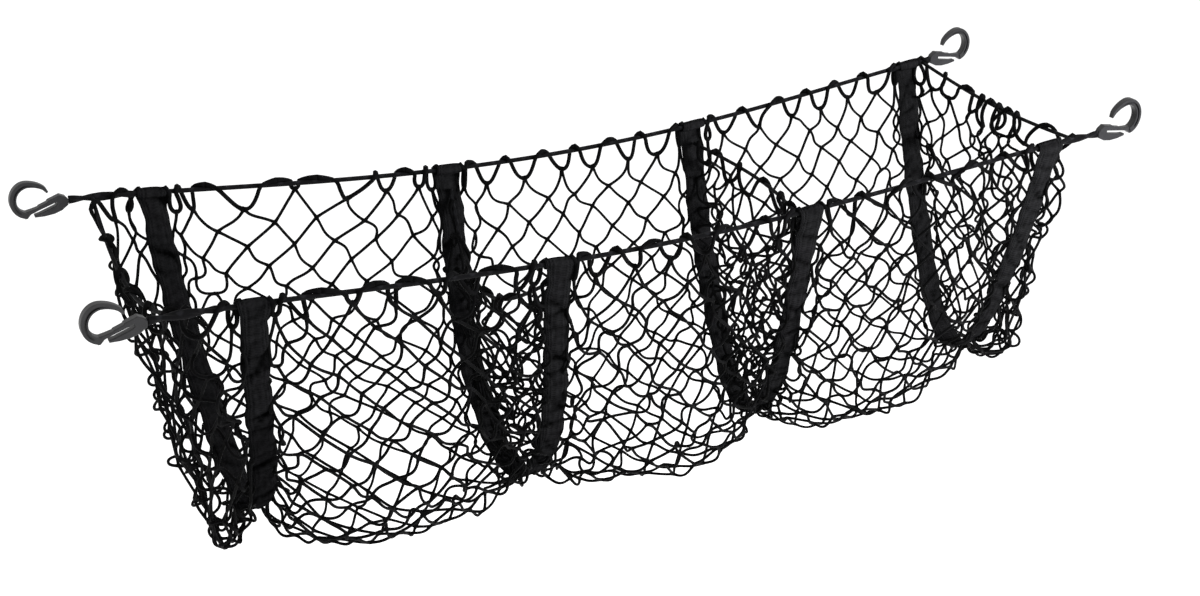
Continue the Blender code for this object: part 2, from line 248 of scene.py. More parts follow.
@dataclass(frozen=True)
class ElasticBraid(Finish):
    """Braided cover over rubber, nearly matt.

    Two waves run along the cord's own map in opposite diagonals and are
    multiplied, which leaves the lozenges of a braid. They repeat every 19 mm
    along the cord, coarser than real plaits.
    """

    plait_mm: float = 18.85
    plait_depth: float = 0.0005

    def draw(self, paint: Paint) -> Socket:
        """Draw the plaits, and return them as the tone: painted shade in the hollows between the plaits,
        lighter on their crowns.
        """
        mirrored = paint.scaled_map((1.0, -1.0, 1.0))
        right, left = (paint.wave(at, self.plait_mm, "DIAGONAL") for at in (paint.flat, mirrored))
        plait = paint.maths("MULTIPLY", right, left)
        paint.bump(plait, 0.7, self.plait_depth)
        return plait


@dataclass(frozen=True)
class MouldedNylon(Finish):
    """Moulded nylon: satin grey with a fine moulding grain of 0.6 mm."""

    grain_mm: float = 0.6
    grain_depth: float = 0.0002
    clouds_per_m: float = 90.0

    def draw(self, paint: Paint) -> Socket:
        """Draw the grain, and return a faint cloudiness."""
        paint.bump(paint.noise(1000.0 / self.grain_mm, 3.0), 0.15, self.grain_depth)
        return paint.noise(self.clouds_per_m, 3.0)


@dataclass(frozen=True)
class StudioPaper(Finish):
    """Matt white background paper, faintly clouded and lit through from behind."""

    clouds_per_m: float = 0.4
    glow: float = 0.15

    def draw(self, paint: Paint) -> Socket:
        """Set the glow, and return the clouds."""
        paint.shader.inputs["Emission Color"].default_value = linear(self.light)
        paint.shader.inputs["Emission Strength"].default_value = self.glow
        return paint.noise(self.clouds_per_m)


# ------------------------------------------------------------ shared shapes


def unit(vectors: Array) -> Array:
    """Return the vectors at length one."""
    return vectors / np.maximum(np.linalg.norm(vectors, axis=-1, keepdims=True), 1e-12)


def circle(sides: int) -> Array:
    """Return this many even angles round a circle."""
    return 2 * math.pi * np.arange(sides) / sides


def eased(share: Array) -> Array:
    """Return a share from 0 to 1 with a soft start and a soft end."""
    return share * share * (3 - 2 * share)


def run_along(path: Array) -> Array:
    """Return the distance from the path's start to each of its points."""
    return np.concatenate([[0.0], np.cumsum(np.linalg.norm(np.diff(path, axis=0), axis=1))])


@dataclass(frozen=True)
class MainCordLine:
    """Where a main cord runs: it sags, and the net draws it inwards.

    z = -sag (1 - t^2)^1.5 and y = side (spacing - bow (1 - t^2)), where t is
    x over the cord's half length.
    """

    side: int
    end_x: float = 0.540
    half_spacing: float = 0.1525
    sag: float = 0.034
    bow: float = 0.0146
    radius: float = 0.0025

    def centre(self, x: Array) -> Array:
        """Return the centre points at these x."""
        x = np.asarray(x, float)
        inward = np.maximum(1.0 - (x / self.end_x) ** 2, 0.0)
        y = self.side * (self.half_spacing - self.bow * inward)
        return np.stack([x, y, -self.sag * inward ** 1.5], axis=-1)

    def direction(self, x: float) -> Array:
        """Return the cord's direction at x, for one metre along X."""
        step = 0.001
        return (self.centre(x + step) - self.centre(x - step)) / (2 * step)


BACK_CORD = MainCordLine(BACK)
FRONT_CORD = MainCordLine(FRONT)


@dataclass(frozen=True)
class Station:
    """One sleeve's hang: a chain between the cords, pinched and drifted."""

    name: str
    back_x: float
    front_x: float
    length: float
    drift: float
    skew: float
    pinch: float
    shift: float
    width: float

    def centre(self, share: Array) -> Array:
        """Return points of the centre line.

        The chain hangs as y = a cosh(x / a) between its two cords; sine humps
        over the share then narrow, shift and drift it. The ratio of half the
        span to a is found by halving.

        Args:
            share: from 0 at the back cord to 1 at the front cord.
        """
        share = np.asarray(share, float)
        back = BACK_CORD.centre(self.back_x)
        front = FRONT_CORD.centre(self.front_x)
        span, rise = back[1] - front[1], front[2] - back[2]
        target = math.sqrt(self.length ** 2 - rise ** 2) / span
        low, high = 1e-6, 30.0
        for _ in range(60):
            middle = 0.5 * (low + high)
            low, high = (middle, high) if math.sinh(middle) / middle < target else (low, middle)
        scale = span / (2.0 * low)
        lowest = span / 2 - scale * math.atanh(rise / self.length)
        start = scale * math.sinh(-lowest / scale)
        across = scale * np.arcsinh((start + share * self.length) / scale) + lowest
        z = back[2] + scale * (np.cosh((across - lowest) / scale) - math.cosh(lowest / scale))
        hump = np.sin(math.pi * share) ** 2
        level = 0.5 * (back[1] + front[1])
        y = level + (back[1] - across - level) * (1.0 - self.pinch * hump) + self.shift * hump
        x = back[0] + (front[0] - back[0]) * share + self.drift * hump
        x = x + self.skew * np.sin(2 * math.pi * share) * np.sin(math.pi * share)
        return np.stack([x, y, z], axis=-1)

    def outward(self, share: Array) -> Array:
        """Return unit vectors across the sleeve that point out of the pouch."""
        share = np.asarray(share, float)
        step = 0.004
        along = self.centre(np.minimum(share + step, 1.0)) - self.centre(np.maximum(share - step, 0.0))
        out = np.stack([np.zeros_like(share), -along[..., 2], along[..., 1]], axis=-1)
        return out / np.linalg.norm(out, axis=-1, keepdims=True)


# name, back x, front x, length, drift, skew, pinch, shift, width
STATIONS = (
    Station("1", -0.457, -0.444, 0.707, 0.027, -0.002, 0.13, 0.007, 0.025),
    Station("2", -0.133, -0.136, 0.724, 0.014, -0.012, 0.11, -0.004, 0.026),
    Station("3", 0.182, 0.160, 0.718, 0.015, 0.002, 0.15, -0.002, 0.026),
    Station("4", 0.506, 0.473, 0.733, -0.003, 0.006, 0.20, -0.012, 0.027),
)


def four_sided(top: Carrier, left: Carrier, right: Carrier, bottom: Carrier) -> Surface:
    """Fill four edge curves: the sum of both rulings less the corner ruling."""

    def surface(across: Array, down: Array) -> Array:
        """Return points for shares across and down."""
        a, d = across[..., None], down[..., None]
        zero, one = np.zeros_like(across), np.ones_like(across)
        level = top(across) * (1 - d) + bottom(across) * d
        upright = left(down) * (1 - a) + right(down) * a
        corners = (top(zero) * (1 - a) + top(one) * a) * (1 - d)
        corners = corners + (bottom(zero) * (1 - a) + bottom(one) * a) * d
        return level + upright - corners

    return surface


def add_mesh(name: str, points: Array, faces: list, material: Material, smooth: bool = True) -> Thing:
    """Make a mesh object at the origin.

    Args:
        name: the piece's name.
        points: vertex places, one row each.
        faces: a list of index arrays, one row a face.
        material: the finish.
        smooth: whether its faces are shaded smooth.

    Returns:
        The new object.
    """
    mesh = bpy.data.meshes.new(name)
    sizes = np.concatenate([np.full(len(f), f.shape[1]) for f in faces])
    corners = np.concatenate([f.ravel() for f in faces]).astype(np.int32)
    mesh.vertices.add(len(points))
    mesh.vertices.foreach_set("co", points.astype(np.float32).ravel())
    mesh.loops.add(len(corners))
    mesh.loops.foreach_set("vertex_index", corners)
    mesh.polygons.add(len(sizes))
    mesh.polygons.foreach_set("loop_start", np.concatenate([[0], np.cumsum(sizes)[:-1]]).astype(np.int32))
    mesh.polygons.foreach_set("use_smooth", np.full(len(sizes), smooth))
    mesh.update(calc_edges=True)
    mesh.validate()
    mesh.materials.append(material)
    thing = bpy.data.objects.new(name, mesh)
    bpy.context.scene.collection.objects.link(thing)
    return thing


def put_in_place(piece: Thing, node_name: str) -> None:
    """Let a piece ride on the frame in place of this solid."""
    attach(piece, "root")
    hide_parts(node_name)


def quads_between(index: Array) -> Array:
    """Return the quads between rings, given as numbers of shape (..., rings, sides)."""
    following = np.roll(index, -1, axis=-1)
    here, there = index[..., :-1, :], index[..., 1:, :]
    quads = np.stack([here, following[..., :-1, :], following[..., 1:, :], there], axis=-1)
    return quads.reshape(-1, 4)


def loft(rings: Array) -> list:
    """Return the quads between closed rings, and both end caps, facing out.

    Args:
        rings: places of shape (rings, sides, 3), in order along the path.
    """
    count, sides = rings.shape[:2]
    index = np.arange(count * sides).reshape(count, sides)
    quads, first, last = quads_between(index), index[:1, ::-1], index[-1:]
    middle, spread = rings[0].mean(axis=0), rings[1].mean(axis=0)
    facing = np.cross(rings[0, 1] - rings[0, 0], rings[0, 2] - rings[0, 1])
    if np.dot(facing, spread - middle) < 0:
        quads, first, last = quads[:, ::-1], first[:, ::-1], last[:, ::-1]
    return [quads, first, last]


def add_tube(name: str, rings: Array, path: Array, turn: float, material: Material) -> Thing:
    """Make a lofted piece with a map in metres, mended where it closes round.

    Args:
        name: the piece's name.
        rings: places of shape (rings, sides, 3), in order along the path.
        path: the rings' centres.
        turn: the whole distance round the section.
        material: the finish.

    Returns:
        The new object.
    """
    thing = add_mesh(name, rings.reshape(-1, 3), loft(rings), material)
    mesh, sides = thing.data, rings.shape[1]
    across = np.tile(circle(sides) / (2 * math.pi) * turn, len(path))
    corner = np.empty(len(mesh.loops), np.int32)
    mesh.loops.foreach_get("vertex_index", corner)
    u, v = across[corner], np.repeat(run_along(path), sides)[corner]
    start = np.empty(len(mesh.polygons), np.int32)
    total = np.empty(len(mesh.polygons), np.int32)
    mesh.polygons.foreach_get("loop_start", start)
    mesh.polygons.foreach_get("loop_total", total)
    widest = np.maximum.reduceat(u, start)
    u = np.where((np.repeat(widest, total) - u) > turn / 2, u + turn, u)
    layer = mesh.uv_layers.new(name="map")
    layer.data.foreach_set("uv", np.stack([u, v], axis=-1).astype(np.float32).ravel())
    return thing


def spokes(tangent: Array, normal: Array, sides: int) -> Array:
    """Return unit vectors round each tangent, one for each side."""
    angle = circle(sides)[:, None]
    binormal = np.cross(tangent, normal)
    return normal[..., None, :] * np.cos(angle) + binormal[..., None, :] * np.sin(angle)


def catmull_rom(points: Array, cuts: int) -> tuple[Array, Array]:
    """Return points and slopes of smooth curves.

    Args:
        points: of shape (curves, points, 3), with one beyond each end.
        cuts: pieces that each span is cut into.
    """
    p0, p1, p2, p3 = points[:, :-3], points[:, 1:-2], points[:, 2:-1], points[:, 3:]
    square, cube = 2 * p0 - 5 * p1 + 4 * p2 - p3, 3 * p1 - p0 - 3 * p2 + p3
    parts, slopes = [], []
    for t in np.arange(cuts) / cuts:
        parts.append(0.5 * (2 * p1 + (p2 - p0) * t + square * t ** 2 + cube * t ** 3))
        slopes.append(0.5 * ((p2 - p0) + 2 * square * t + 3 * cube * t ** 2))
    curve, slope = (np.stack(found, axis=2).reshape(len(points), -1, 3) for found in (parts, slopes))
    end_slope = 0.5 * (points[:, -1] - points[:, -3])[:, None]
    return np.concatenate([curve, points[:, -2:-1]], axis=1), np.concatenate([slope, end_slope], axis=1)


# ------------------------------------------------------------------ netting

# Distance of paired points over a step's length at rest, and how firmly it is kept.
ALONG_BAR = (1.0, 1.0)
AGAINST_FOLDING = (1.94, 0.22)
THROUGH_KNOT = (1.95, 0.5)
KNOT_OPENING = (1.30, 0.35)
EDGE_TURN = (1.85, 0.8)

# Steps that a bar is cut into, and its pairs of points, in groups that share no point.
STEPS = 6
GROUPS = (
    ((0, 2, 4), 1, ALONG_BAR), ((1, 3, 5), 1, ALONG_BAR),
    ((0, 1), 2, AGAINST_FOLDING), ((2, 3), 2, AGAINST_FOLDING), ((4,), 2, AGAINST_FOLDING),
)


@dataclass(frozen=True)
class Edge:
    """The row of bars next to a cord; the turn is 1 if they go down from it.

    Strands end with the bars of the stop row, where the edge strand turns back.
    """

    row: int
    knot_row: int
    turn: int
    line: Carrier
    loops: Loops
    stop_row: int


@dataclass
class Family:
    """The bars that run one way: a column right (turn 1) or left (-1) in each row.

    A bar has its row of point numbers, its first knot's column and row, and
    the bar ahead of it on its strand, or -1.
    """

    turn: int
    points: Array
    column: Array
    row: Array
    ahead: Array
    rest: Array = field(init=False)

    @property
    def behind(self) -> Array:
        """Return the bar behind each bar on its strand, or -1."""
        on = self.ahead >= 0
        found = np.full(len(on), -1)
        found[self.ahead[on]] = np.nonzero(on)[0]
        return found

    def through_knots(self) -> tuple[Array, Array, Array]:
        """Return the knots that strands go through, and the points on either side."""
        on = self.ahead >= 0
        return self.points[on, -1], self.points[on, -2], self.points[self.ahead[on], 1]


def lattice(columns: int, rows: int) -> tuple[Array, list[Family], int]:
    """Number the knots of a net, on a chequered grid, and the points of its bars.

    Returns:
        Each knot's number by column and row, or -1, both families of bars and
        the count of all points.
    """
    i, j = np.meshgrid(np.arange(2 * columns + 1), np.arange(rows + 1), indexing="ij")
    used = (i + j) % 2 == 0
    knot = np.full(i.shape, -1)
    knot[used] = np.arange(used.sum())
    total = int(used.sum())
    families = []
    for turn in (1, -1):
        fits = used & (j < rows) & (i + turn >= 0) & (i + turn <= 2 * columns)
        a, b = i[fits], j[fits]
        order = np.lexsort((a, b))
        a, b = a[order], b[order]
        inner = total + np.arange(len(a) * (STEPS - 1)).reshape(len(a), -1)
        total += inner.size
        number = np.full(i.shape, -1)
        number[a, b] = np.arange(len(a))
        points = np.column_stack([knot[a, b], inner, knot[a + turn, b + 1]])
        families.append(Family(turn, points, a, b, number[a + turn, b + 1]))
    return knot, families, total


@dataclass
class Net:
    """One piece of netting: its surface, its yarn and how loosely it hangs.

    A loop on a cord is its share along the cord, the half length that lies on
    it and, where it isn't the usual one, the depth to which it hangs after it.
    """

    name: str
    surface: Surface
    columns: int
    rows: int
    bar: float = 0.036
    strand: float = 0.0033
    rim_strand: float = 0.0047
    unevenness: float = 0.004
    hold: float = 0.03
    weight: float = 0.2e-5
    edge_weight: float = 5.0
    damping: float = 0.90
    seed: int = 1
    rounds: int = 500
    shear: float = 0.0
    open_top: float = 0.12
    slack: float = 0.22
    selvedge: float = 0.0
    selvedge_slack: tuple[float, float] = (1.10, 1.55)
    swing: float = 0.0035
    curl: float = 0.0030
    top_line: Carrier | None = None
    top_radius: float = 0.0025
    top_loops: Loops = ()
    foot_line: Carrier | None = None
    foot_loops: Loops = ()
    loop_depth: float = 0.024
    loop_ease: float = 1.24
    loop_foot_deg: float = 84.0
    most_lying: float = 0.42
    least_gap: float = 0.004
    long_loop: float = 0.008
    knot_swell: float = 0.35
    knot_reach: float = 0.003
    edges: list[Edge] = field(init=False)
    knot: Array = field(init=False)
    families: list[Family] = field(init=False)
    points: Array = field(init=False)

    def lay_out(self) -> None:
        """Put every point on the surface, with its seeded unevenness."""
        self.knot, self.families, total = lattice(self.columns, self.rows)
        last = self.rows - 1
        both = (
            Edge(0, 0, 1, self.top_line, self.top_loops, 0),
            Edge(last, self.rows, -1, self.foot_line, self.foot_loops, last - 1),
        )
        self.edges = [edge for edge in both if edge.line is not None]
        rng = np.random.default_rng(self.seed)
        i, j = np.nonzero(self.knot >= 0)
        places = self.surface(*self.shares(i, j))
        inside = (i > 0) & (i < 2 * self.columns) & (j > 0) & (j < self.rows)
        places = places + rng.normal(0.0, self.unevenness, places.shape) * inside[:, None]
        self.points = np.zeros((total, 3))
        self.points[self.knot[i, j]] = places
        for family in self.families:
            for edge in self.edges:
                family.ahead[family.row == edge.stop_row] = -1
            self.lay_bars(family, rng)

    def shares(self, i: Array, j: Array) -> tuple[Array, Array]:
        """Return the shares across and down of the knots in these columns and rows.

        Rows stand closer at the pouch's bottom, the columns of the first rows
        follow the loops on the cord, and the shear moves the middle columns
        sideways with depth. The first and the last column are bunched into
        the selvedge, a narrow share of the width beside the sleeves.
        """
        last = 2 * self.columns
        edge = self.selvedge if self.selvedge > 0 else 2 / last
        even = np.interp(i, (0, 2, last - 2, last), (0.0, edge, 1 - edge, 1.0))
        across = even.copy()
        for loops, away in ((self.top_loops, j), (self.foot_loops, self.rows - j)):
            if loops:
                at = np.interp(i, np.linspace(0, last, len(loops)), [place for place, *_ in loops])
                across = across + (at - even) * np.clip(1 - (away - 1) / 4, 0, 1)
        down = j / self.rows
        down = down + self.open_top * np.sin(2 * math.pi * down) / (2 * math.pi)
        across = across + self.shear * np.sin(math.pi * even) * np.sin(2 * math.pi * down)
        return np.clip(across, 0, 1), down

    def lay_bars(self, family: Family, rng: np.random.Generator) -> None:
        """Lay a family's bars between their knots, each a little bowed.

        Bars at the rim get some slack, and those of the selvedge are only a
        little longer than they need to be.
        """
        start, stop = self.points[family.points[:, 0]], self.points[family.points[:, -1]]
        share = np.linspace(0.0, 1.0, STEPS + 1)[1:-1, None]
        line = start[:, None] * (1 - share) + stop[:, None] * share
        swing, curl = (rng.normal(0.0, 1.0, (len(start), 1, 3)) * size for size in (self.swing, self.curl))
        line = line + swing * np.sin(math.pi * share) + curl * np.sin(2 * math.pi * share)
        self.points[family.points[:, 1:-1]] = line
        last = 2 * self.columns
        rim = (family.column <= 1) | (family.column >= last - 1)
        rest = self.bar * (1 + rng.uniform(0.0, self.slack, len(start)) * rim)
        if self.selvedge > 0:
            laid = np.linalg.norm(stop - start, axis=1) * rng.uniform(*self.selvedge_slack, len(start))
            ends = np.stack([family.column, family.column + family.turn])
            bunched = (ends.min(axis=0) < 2) | (ends.max(axis=0) > last - 2)
            rest = np.where(bunched, np.minimum(laid, self.bar * 1.1), rest)
        family.rest = rest / STEPS

    def pin(self) -> Array:
        """Fix the rim: loops over the cords, and ends in the sleeves.

        Returns:
            True for each point that is fixed.
        """
        fixed = np.zeros(len(self.points), bool)
        for rim in (self.knot[0], self.knot[-1], self.knot[:, 0], self.knot[:, -1]):
            fixed[rim[rim >= 0]] = True
        for edge in self.edges:
            for family in self.families:
                self.loop_over(edge, family, fixed)
        return fixed

    def loop_over(self, edge: Edge, family: Family, fixed: Array) -> None:
        """Loop a family's bars of an edge over its cord.

        At each loop the edge strand comes up on one side of the cord, lies
        along its top for the loop's half length and leaves on the other side,
        and the sides change from loop to loop. The rest of its bar is given
        the length that lets it hang to the loop depth.

        Args:
            edge: the row of bars and its cord.
            family: which bars.
            fixed: marked True for each point that is put on the cord.
        """
        line = edge.line
        place, half = (np.array([loop[k] for loop in edge.loops]) for k in (0, 1))
        depth = np.array([loop[2] if len(loop) > 2 else self.loop_depth for loop in edge.loops])
        last = len(place) - 1
        span = float(np.linalg.norm(line(np.array(0.501)) - line(np.array(0.499)))) / 0.002
        here = np.nonzero(family.row == edge.row)[0]
        bars = family.points[here][:, ::edge.turn]
        heading = family.turn * edge.turn
        column = family.column[here] + (0 if edge.turn == 1 else family.turn)
        hump = np.clip((column - edge.knot_row % 2) // 2, 0, last)
        after = np.clip(hump + heading, 0, last)
        room = np.abs(place[after] - place[hump]) * span
        lying = np.minimum(half[hump], self.most_lying * room)
        width = np.maximum(room - lying - np.minimum(half[after], self.most_lying * room), self.least_gap)
        ahead = unit(line(np.clip(place[hump] + 0.01, 0, 1)) - line(np.clip(place[hump] - 0.01, 0, 1)))
        side = unit(np.cross(ahead, UP)) * np.where(hump % 2 == 0, heading, -heading)[:, None]
        count = np.where(half[hump] > self.long_loop, 3, 2)
        for s in range(3):
            share = np.minimum(s / (count - 1), 1.0)
            angle = np.radians(90.0 - self.loop_foot_deg * share ** 1.5)[:, None]
            around = (side * np.cos(angle) + UP * np.sin(angle)) * (self.top_radius + self.rim_strand / 2)
            where = line(np.clip(place[hump] + heading * lying * share / span, 0, 1)) + around
            keep = s < count
            self.points[bars[keep, s]] = where[keep]
            fixed[bars[keep, s]] = True
        hanging = self.loop_ease * np.hypot(width / 2, depth[np.minimum(hump, after)])
        family.rest[here] = hanging / (STEPS + 1 - count)

    def ties(self) -> list[tuple[Array, Array, Array, float]]:
        """Pair up the points that act on each other.

        Neighbours keep their distance along a bar, points two apart resist
        folding, a strand goes straight through its knots, and the two strands
        of a knot keep open. All but the neighbours may come apart freely.

        Returns:
            First and second points, their distances and how firmly these are kept.
        """
        found, crossing = [], []
        for family in self.families:
            for group, hop, (ratio, firm) in GROUPS:
                first, second = (family.points[:, [g + k for g in group]].ravel() for k in (0, hop))
                found.append((first, second, np.repeat(family.rest, len(group)) * ratio, firm))
            knot, last, following = family.through_knots()
            ratio, firm = THROUGH_KNOT
            found.append((last, following, family.rest[family.ahead >= 0] * ratio, firm))
            crossing.append(dict(zip(knot.tolist(), zip(last.tolist(), following.tolist()))))
        both = sorted(set(crossing[0]) & set(crossing[1]))
        a, b, c, d = np.array([crossing[0][k] + crossing[1][k] for k in both]).T
        opposite = [((a, b), (c, d), KNOT_OPENING), ((a, b), (d, c), KNOT_OPENING)]
        opposite += [((tip[:, 0],), (tip[:, 1],), EDGE_TURN) for tip in self.turns_at_edge()]
        for first, second, (ratio, firm) in opposite:
            first, second = np.concatenate(first), np.concatenate(second)
            found.append((first, second, np.full(len(first), ratio * (self.bar / STEPS)), firm))
        return found

    def hang(self, fixed: Array) -> None:
        """Let the strands settle.

        Each round every free point falls a little and drifts on, the edge
        strands more than the rest. Knots are drawn softly to where they were
        laid on the surface, and then the pairs of points are put right in turn.

        Args:
            fixed: True for each point that stays.
        """
        points = self.points
        free = (~fixed).astype(float)
        ready = []
        for first, second, rest, firm in self.ties():
            total = free[first] + free[second]
            keep = total > 0
            first, second, total, rest = first[keep], second[keep], total[keep], rest[keep]
            shares = [(firm * free[end] / total)[:, None] for end in (first, second)]
            both_ways = firm == ALONG_BAR[1]
            ready.append((first, second, rest, *shares, both_ways))
        knots = self.knot[self.knot >= 0]
        target = points[knots].copy()
        pull = (self.hold * free[knots])[:, None]
        before = points.copy()
        heavy = np.ones(len(points))
        for edge in self.edges:
            for family in self.families:
                heavy[family.points[family.row == edge.row]] = self.edge_weight
        fall = np.array([0.0, 0.0, -self.weight]) * (free * heavy)[:, None]
        for _ in range(self.rounds):
            drift = (points - before) * self.damping
            before[:] = points
            points += drift * free[:, None] + fall
            points[knots] += (target - points[knots]) * pull
            for first, second, rest, share_first, share_second, both_ways in ready:
                gap = points[second] - points[first]
                size = np.sqrt(np.einsum("ij,ij->i", gap, gap)) + 1e-9
                off = (size - rest) / size
                if not both_ways:
                    off = np.minimum(off, 0.0)
                move = gap * off[:, None]
                points[first] += move * share_first
                points[second] -= move * share_second
        self.ease(free)

    def ease(self, free: Array, times: int = 3) -> None:
        """Ease the kinks out of the strands.

        Each time a free point goes half way to the mean of its neighbours
        along the strands that it is on.

        Args:
            free: one for each point that may move.
            times: how often it is done.
        """
        near, here = [], []
        for family in self.families:
            knot, last, following = family.through_knots()
            near += [family.points[:, :-2].ravel(), last, family.points[:, 2:].ravel(), following]
            here += [family.points[:, 1:-1].ravel(), knot] * 2
        for tip in self.turns_at_edge():
            near += [tip[:, 0], tip[:, 1]]
            here += [tip[:, 2], tip[:, 2]]
        here, near = np.concatenate(here), np.concatenate(near)
        total = len(self.points)
        count = np.bincount(here, minlength=total).astype(float)
        moved = free * (count > 1) * 0.5
        for _ in range(times):
            mean = np.stack([np.bincount(here, self.points[near, k], total) for k in range(3)], axis=-1)
            mean = mean / np.maximum(count, 1.0)[:, None]
            self.points += (mean - self.points) * moved[:, None]

    def turns_at_edge(self) -> list[Array]:
        """Return both neighbours and the knot of each turn of the edge strand.

        Next to a cord the edge strand doesn't go on into the net: it comes
        down one bar, turns at the knot and goes up the next one.
        """
        found = []
        for edge in self.edges:
            near = []
            for family in self.families:
                bars = family.points[family.row == edge.row][:, ::edge.turn]
                near.append(dict(zip(bars[:, -1].tolist(), bars[:, -2].tolist())))
            shared = sorted(set(near[0]) & set(near[1]))
            found.append(np.array([(near[0][k], near[1][k], k) for k in shared]))
        return found

    def beyond_ends(self, family: Family, other: Family) -> tuple[Array, Array]:
        """Return the places before the first and after the last point of each bar.

        They are the next ones of its strand, or of the other family's bar
        where an edge strand turns, or else a step straight on.
        """
        points, bars = self.points, family.points
        found = []
        for at, first, second, far in ((family.behind, 0, 1, -2), (family.ahead, -1, -2, 1)):
            straight = 2 * points[bars[:, first]] - points[bars[:, second]]
            beyond = np.where((at >= 0)[:, None], points[bars[np.maximum(at, 0), far]], straight)
            for edge in self.edges:
                theirs = other.points[other.row == edge.row]
                turned = dict(zip(theirs[:, first].tolist(), theirs[:, second].tolist()))
                for k in np.nonzero(family.row == edge.row)[0]:
                    if bars[k, first] in turned:
                        beyond[k] = points[turned[bars[k, first]]]
            found.append(beyond)
        return found[0], found[1]

    def carried_normals(self, family: Family, tangent: Array) -> Array:
        """Carry the section's first direction down the strands, row by row.

        At each point it is the last one less its part along the new tangent.
        """
        behind = family.behind
        normal = np.zeros_like(tangent)
        for j in range(self.rows):
            here = np.nonzero(family.row == j)[0]
            start = np.tile(np.array([0.13, 0.97, 0.21]), (len(here), 1))
            has = behind[here] >= 0
            start[has] = normal[behind[here][has], -1]
            for s in range(tangent.shape[1]):
                along = tangent[here, s]
                start = unit(start - along * np.einsum("ij,ij->i", start, along)[:, None])
                normal[here, s] = start
        return normal

    def radii(self, family: Family, count: int) -> Array:
        """Return the radius at this many points of each bar.

        It swells near a knot, where two strands cross, and the edge strand is
        thicker than the others.
        """
        reach = np.minimum(np.arange(count), np.arange(count)[::-1]) * self.bar / (count - 1)
        swell = 1.0 + self.knot_swell * np.exp(-(reach / self.knot_reach) ** 2)
        radius = np.full((len(family.row), count), self.strand / 2) * swell
        for edge in self.edges:
            radius[family.row == edge.row] *= self.rim_strand / self.strand
        return radius

    def tubes(self, sides: int = 6, cuts: int = 2) -> tuple[Array, list]:
        """Turn the strands into closed round tubes.

        Each bar is a smooth curve through its points, with a ring carried
        along it. A bar shares its first ring with the bar behind it.

        Args:
            sides: corners of the round section.
            cuts: pieces that each step of a bar is cut into.

        Returns:
            Vertex places and faces.
        """
        rings, quads, caps = [], [], []
        total = 0
        for family, other in zip(self.families, self.families[::-1]):
            before, after = self.beyond_ends(family, other)
            line = np.concatenate([before[:, None], self.points[family.points], after[:, None]], axis=1)
            curve, slope = catmull_rom(line, cuts)
            tangent = unit(slope)
            bars, count = curve.shape[:2]
            around = spokes(tangent, self.carried_normals(family, tangent), sides)
            places = curve[:, :, None] + around * self.radii(family, count)[:, :, None, None]
            behind = family.behind
            first, joined = np.nonzero(behind < 0)[0], behind >= 0
            number = np.zeros((bars, count), int)
            number[:, 1:] = np.arange(bars * (count - 1)).reshape(bars, -1)
            number[first, 0] = bars * (count - 1) + np.arange(len(first))
            number[joined, 0] = number[behind[joined], -1]
            table = np.zeros((number.max() + 1, sides, 3))
            table[number[:, 1:].ravel()] = places[:, 1:].reshape(-1, sides, 3)
            table[number[first, 0]] = places[first, 0]
            index = total + number[:, :, None] * sides + np.arange(sides)
            quads.append(quads_between(index))
            caps += [index[first, 0][:, ::-1], index[family.ahead < 0, -1]]
            rings.append(table.reshape(-1, 3))
            total += len(rings[-1])
        return np.concatenate(rings), [np.concatenate(quads), np.concatenate(caps)]

    def build(self, material: Material) -> Thing:
        """Lay out, hang and mesh the net, and put it in place of its solid.

        Returns:
            The finished piece, in the yarn that is given.
        """
        self.lay_out()
        self.hang(self.pin())
        piece = add_mesh(self.name + "_strands", *self.tubes(), material)
        put_in_place(piece, self.name)
        bars = sum(len(family.row) for family in self.families)
        log.info("%s: %d bars, %.1f m of strand", self.name, bars, bars * self.bar)
        return piece


@dataclass(frozen=True)
class Bay:
    """One pouch between two sleeves, and the loops of its net on each cord."""

    name: str
    left: int
    bulge: float
    deepest: float
    columns: int
    rows: int
    bar: float
    shear: float
    back_loops: Loops
    front_loops: Loops
    fullness: float = 0.75

    def surface(self) -> Surface:
        """Return the pouch's surface: its sleeves' sections, hung out between."""
        left, right = STATIONS[self.left], STATIONS[self.left + 1]
        skew = math.log(0.5) / math.log(self.deepest)

        def section(share_x: Array, share: Array) -> Array:
            """Return the straight ruling between both sleeves."""
            start = left.centre(share) + ALONG_X * (left.width / 2)
            stop = right.centre(share) - ALONG_X * (right.width / 2)
            return start + (stop - start) * share_x[..., None]

        def place(share_x: Array, share: Array) -> Array:
            """Return points of the pouch."""
            points = section(share_x, share)
            for cord, end, weight in ((BACK_CORD, 0.0, (1 - share) ** 6), (FRONT_CORD, 1.0, share ** 6)):
                hung = section(share_x, np.full_like(share, end))
                seat = cord.centre(hung[..., 0]) - UP * cord.radius
                points = points + (seat - hung) * weight[..., None]
            out = left.outward(share) * (1 - share_x[..., None]) + right.outward(share) * share_x[..., None]
            hump = np.maximum(np.sin(math.pi * share_x ** skew), 0.0) ** self.fullness
            slack = hump * np.sin(math.pi * share) ** 2
            return points + out * (self.bulge * slack)[..., None]

        return place

    def cord_line(self, cord: MainCordLine, end: float) -> Carrier:
        """Return the stretch of a cord that the pouch hangs from.

        Args:
            cord: the main cord.
            end: 0 for the back cord and 1 for the front one.
        """
        left, right = STATIONS[self.left], STATIONS[self.left + 1]
        start = left.centre(end)[0] + left.width / 2
        stop = right.centre(end)[0] - right.width / 2
        return lambda share: cord.centre(start + (stop - start) * np.asarray(share, float))

    def net(self, seed: int) -> Net:
        """Return the pouch's netting."""
        return Net(
            "net_bay_" + self.name, self.surface(), self.columns, self.rows,
            bar=self.bar, seed=seed, shear=self.shear, open_top=0.18, selvedge=0.045,
            top_line=self.cord_line(BACK_CORD, 0.0), top_loops=self.back_loops,
            foot_line=self.cord_line(FRONT_CORD, 1.0), foot_loops=self.front_loops,
        )


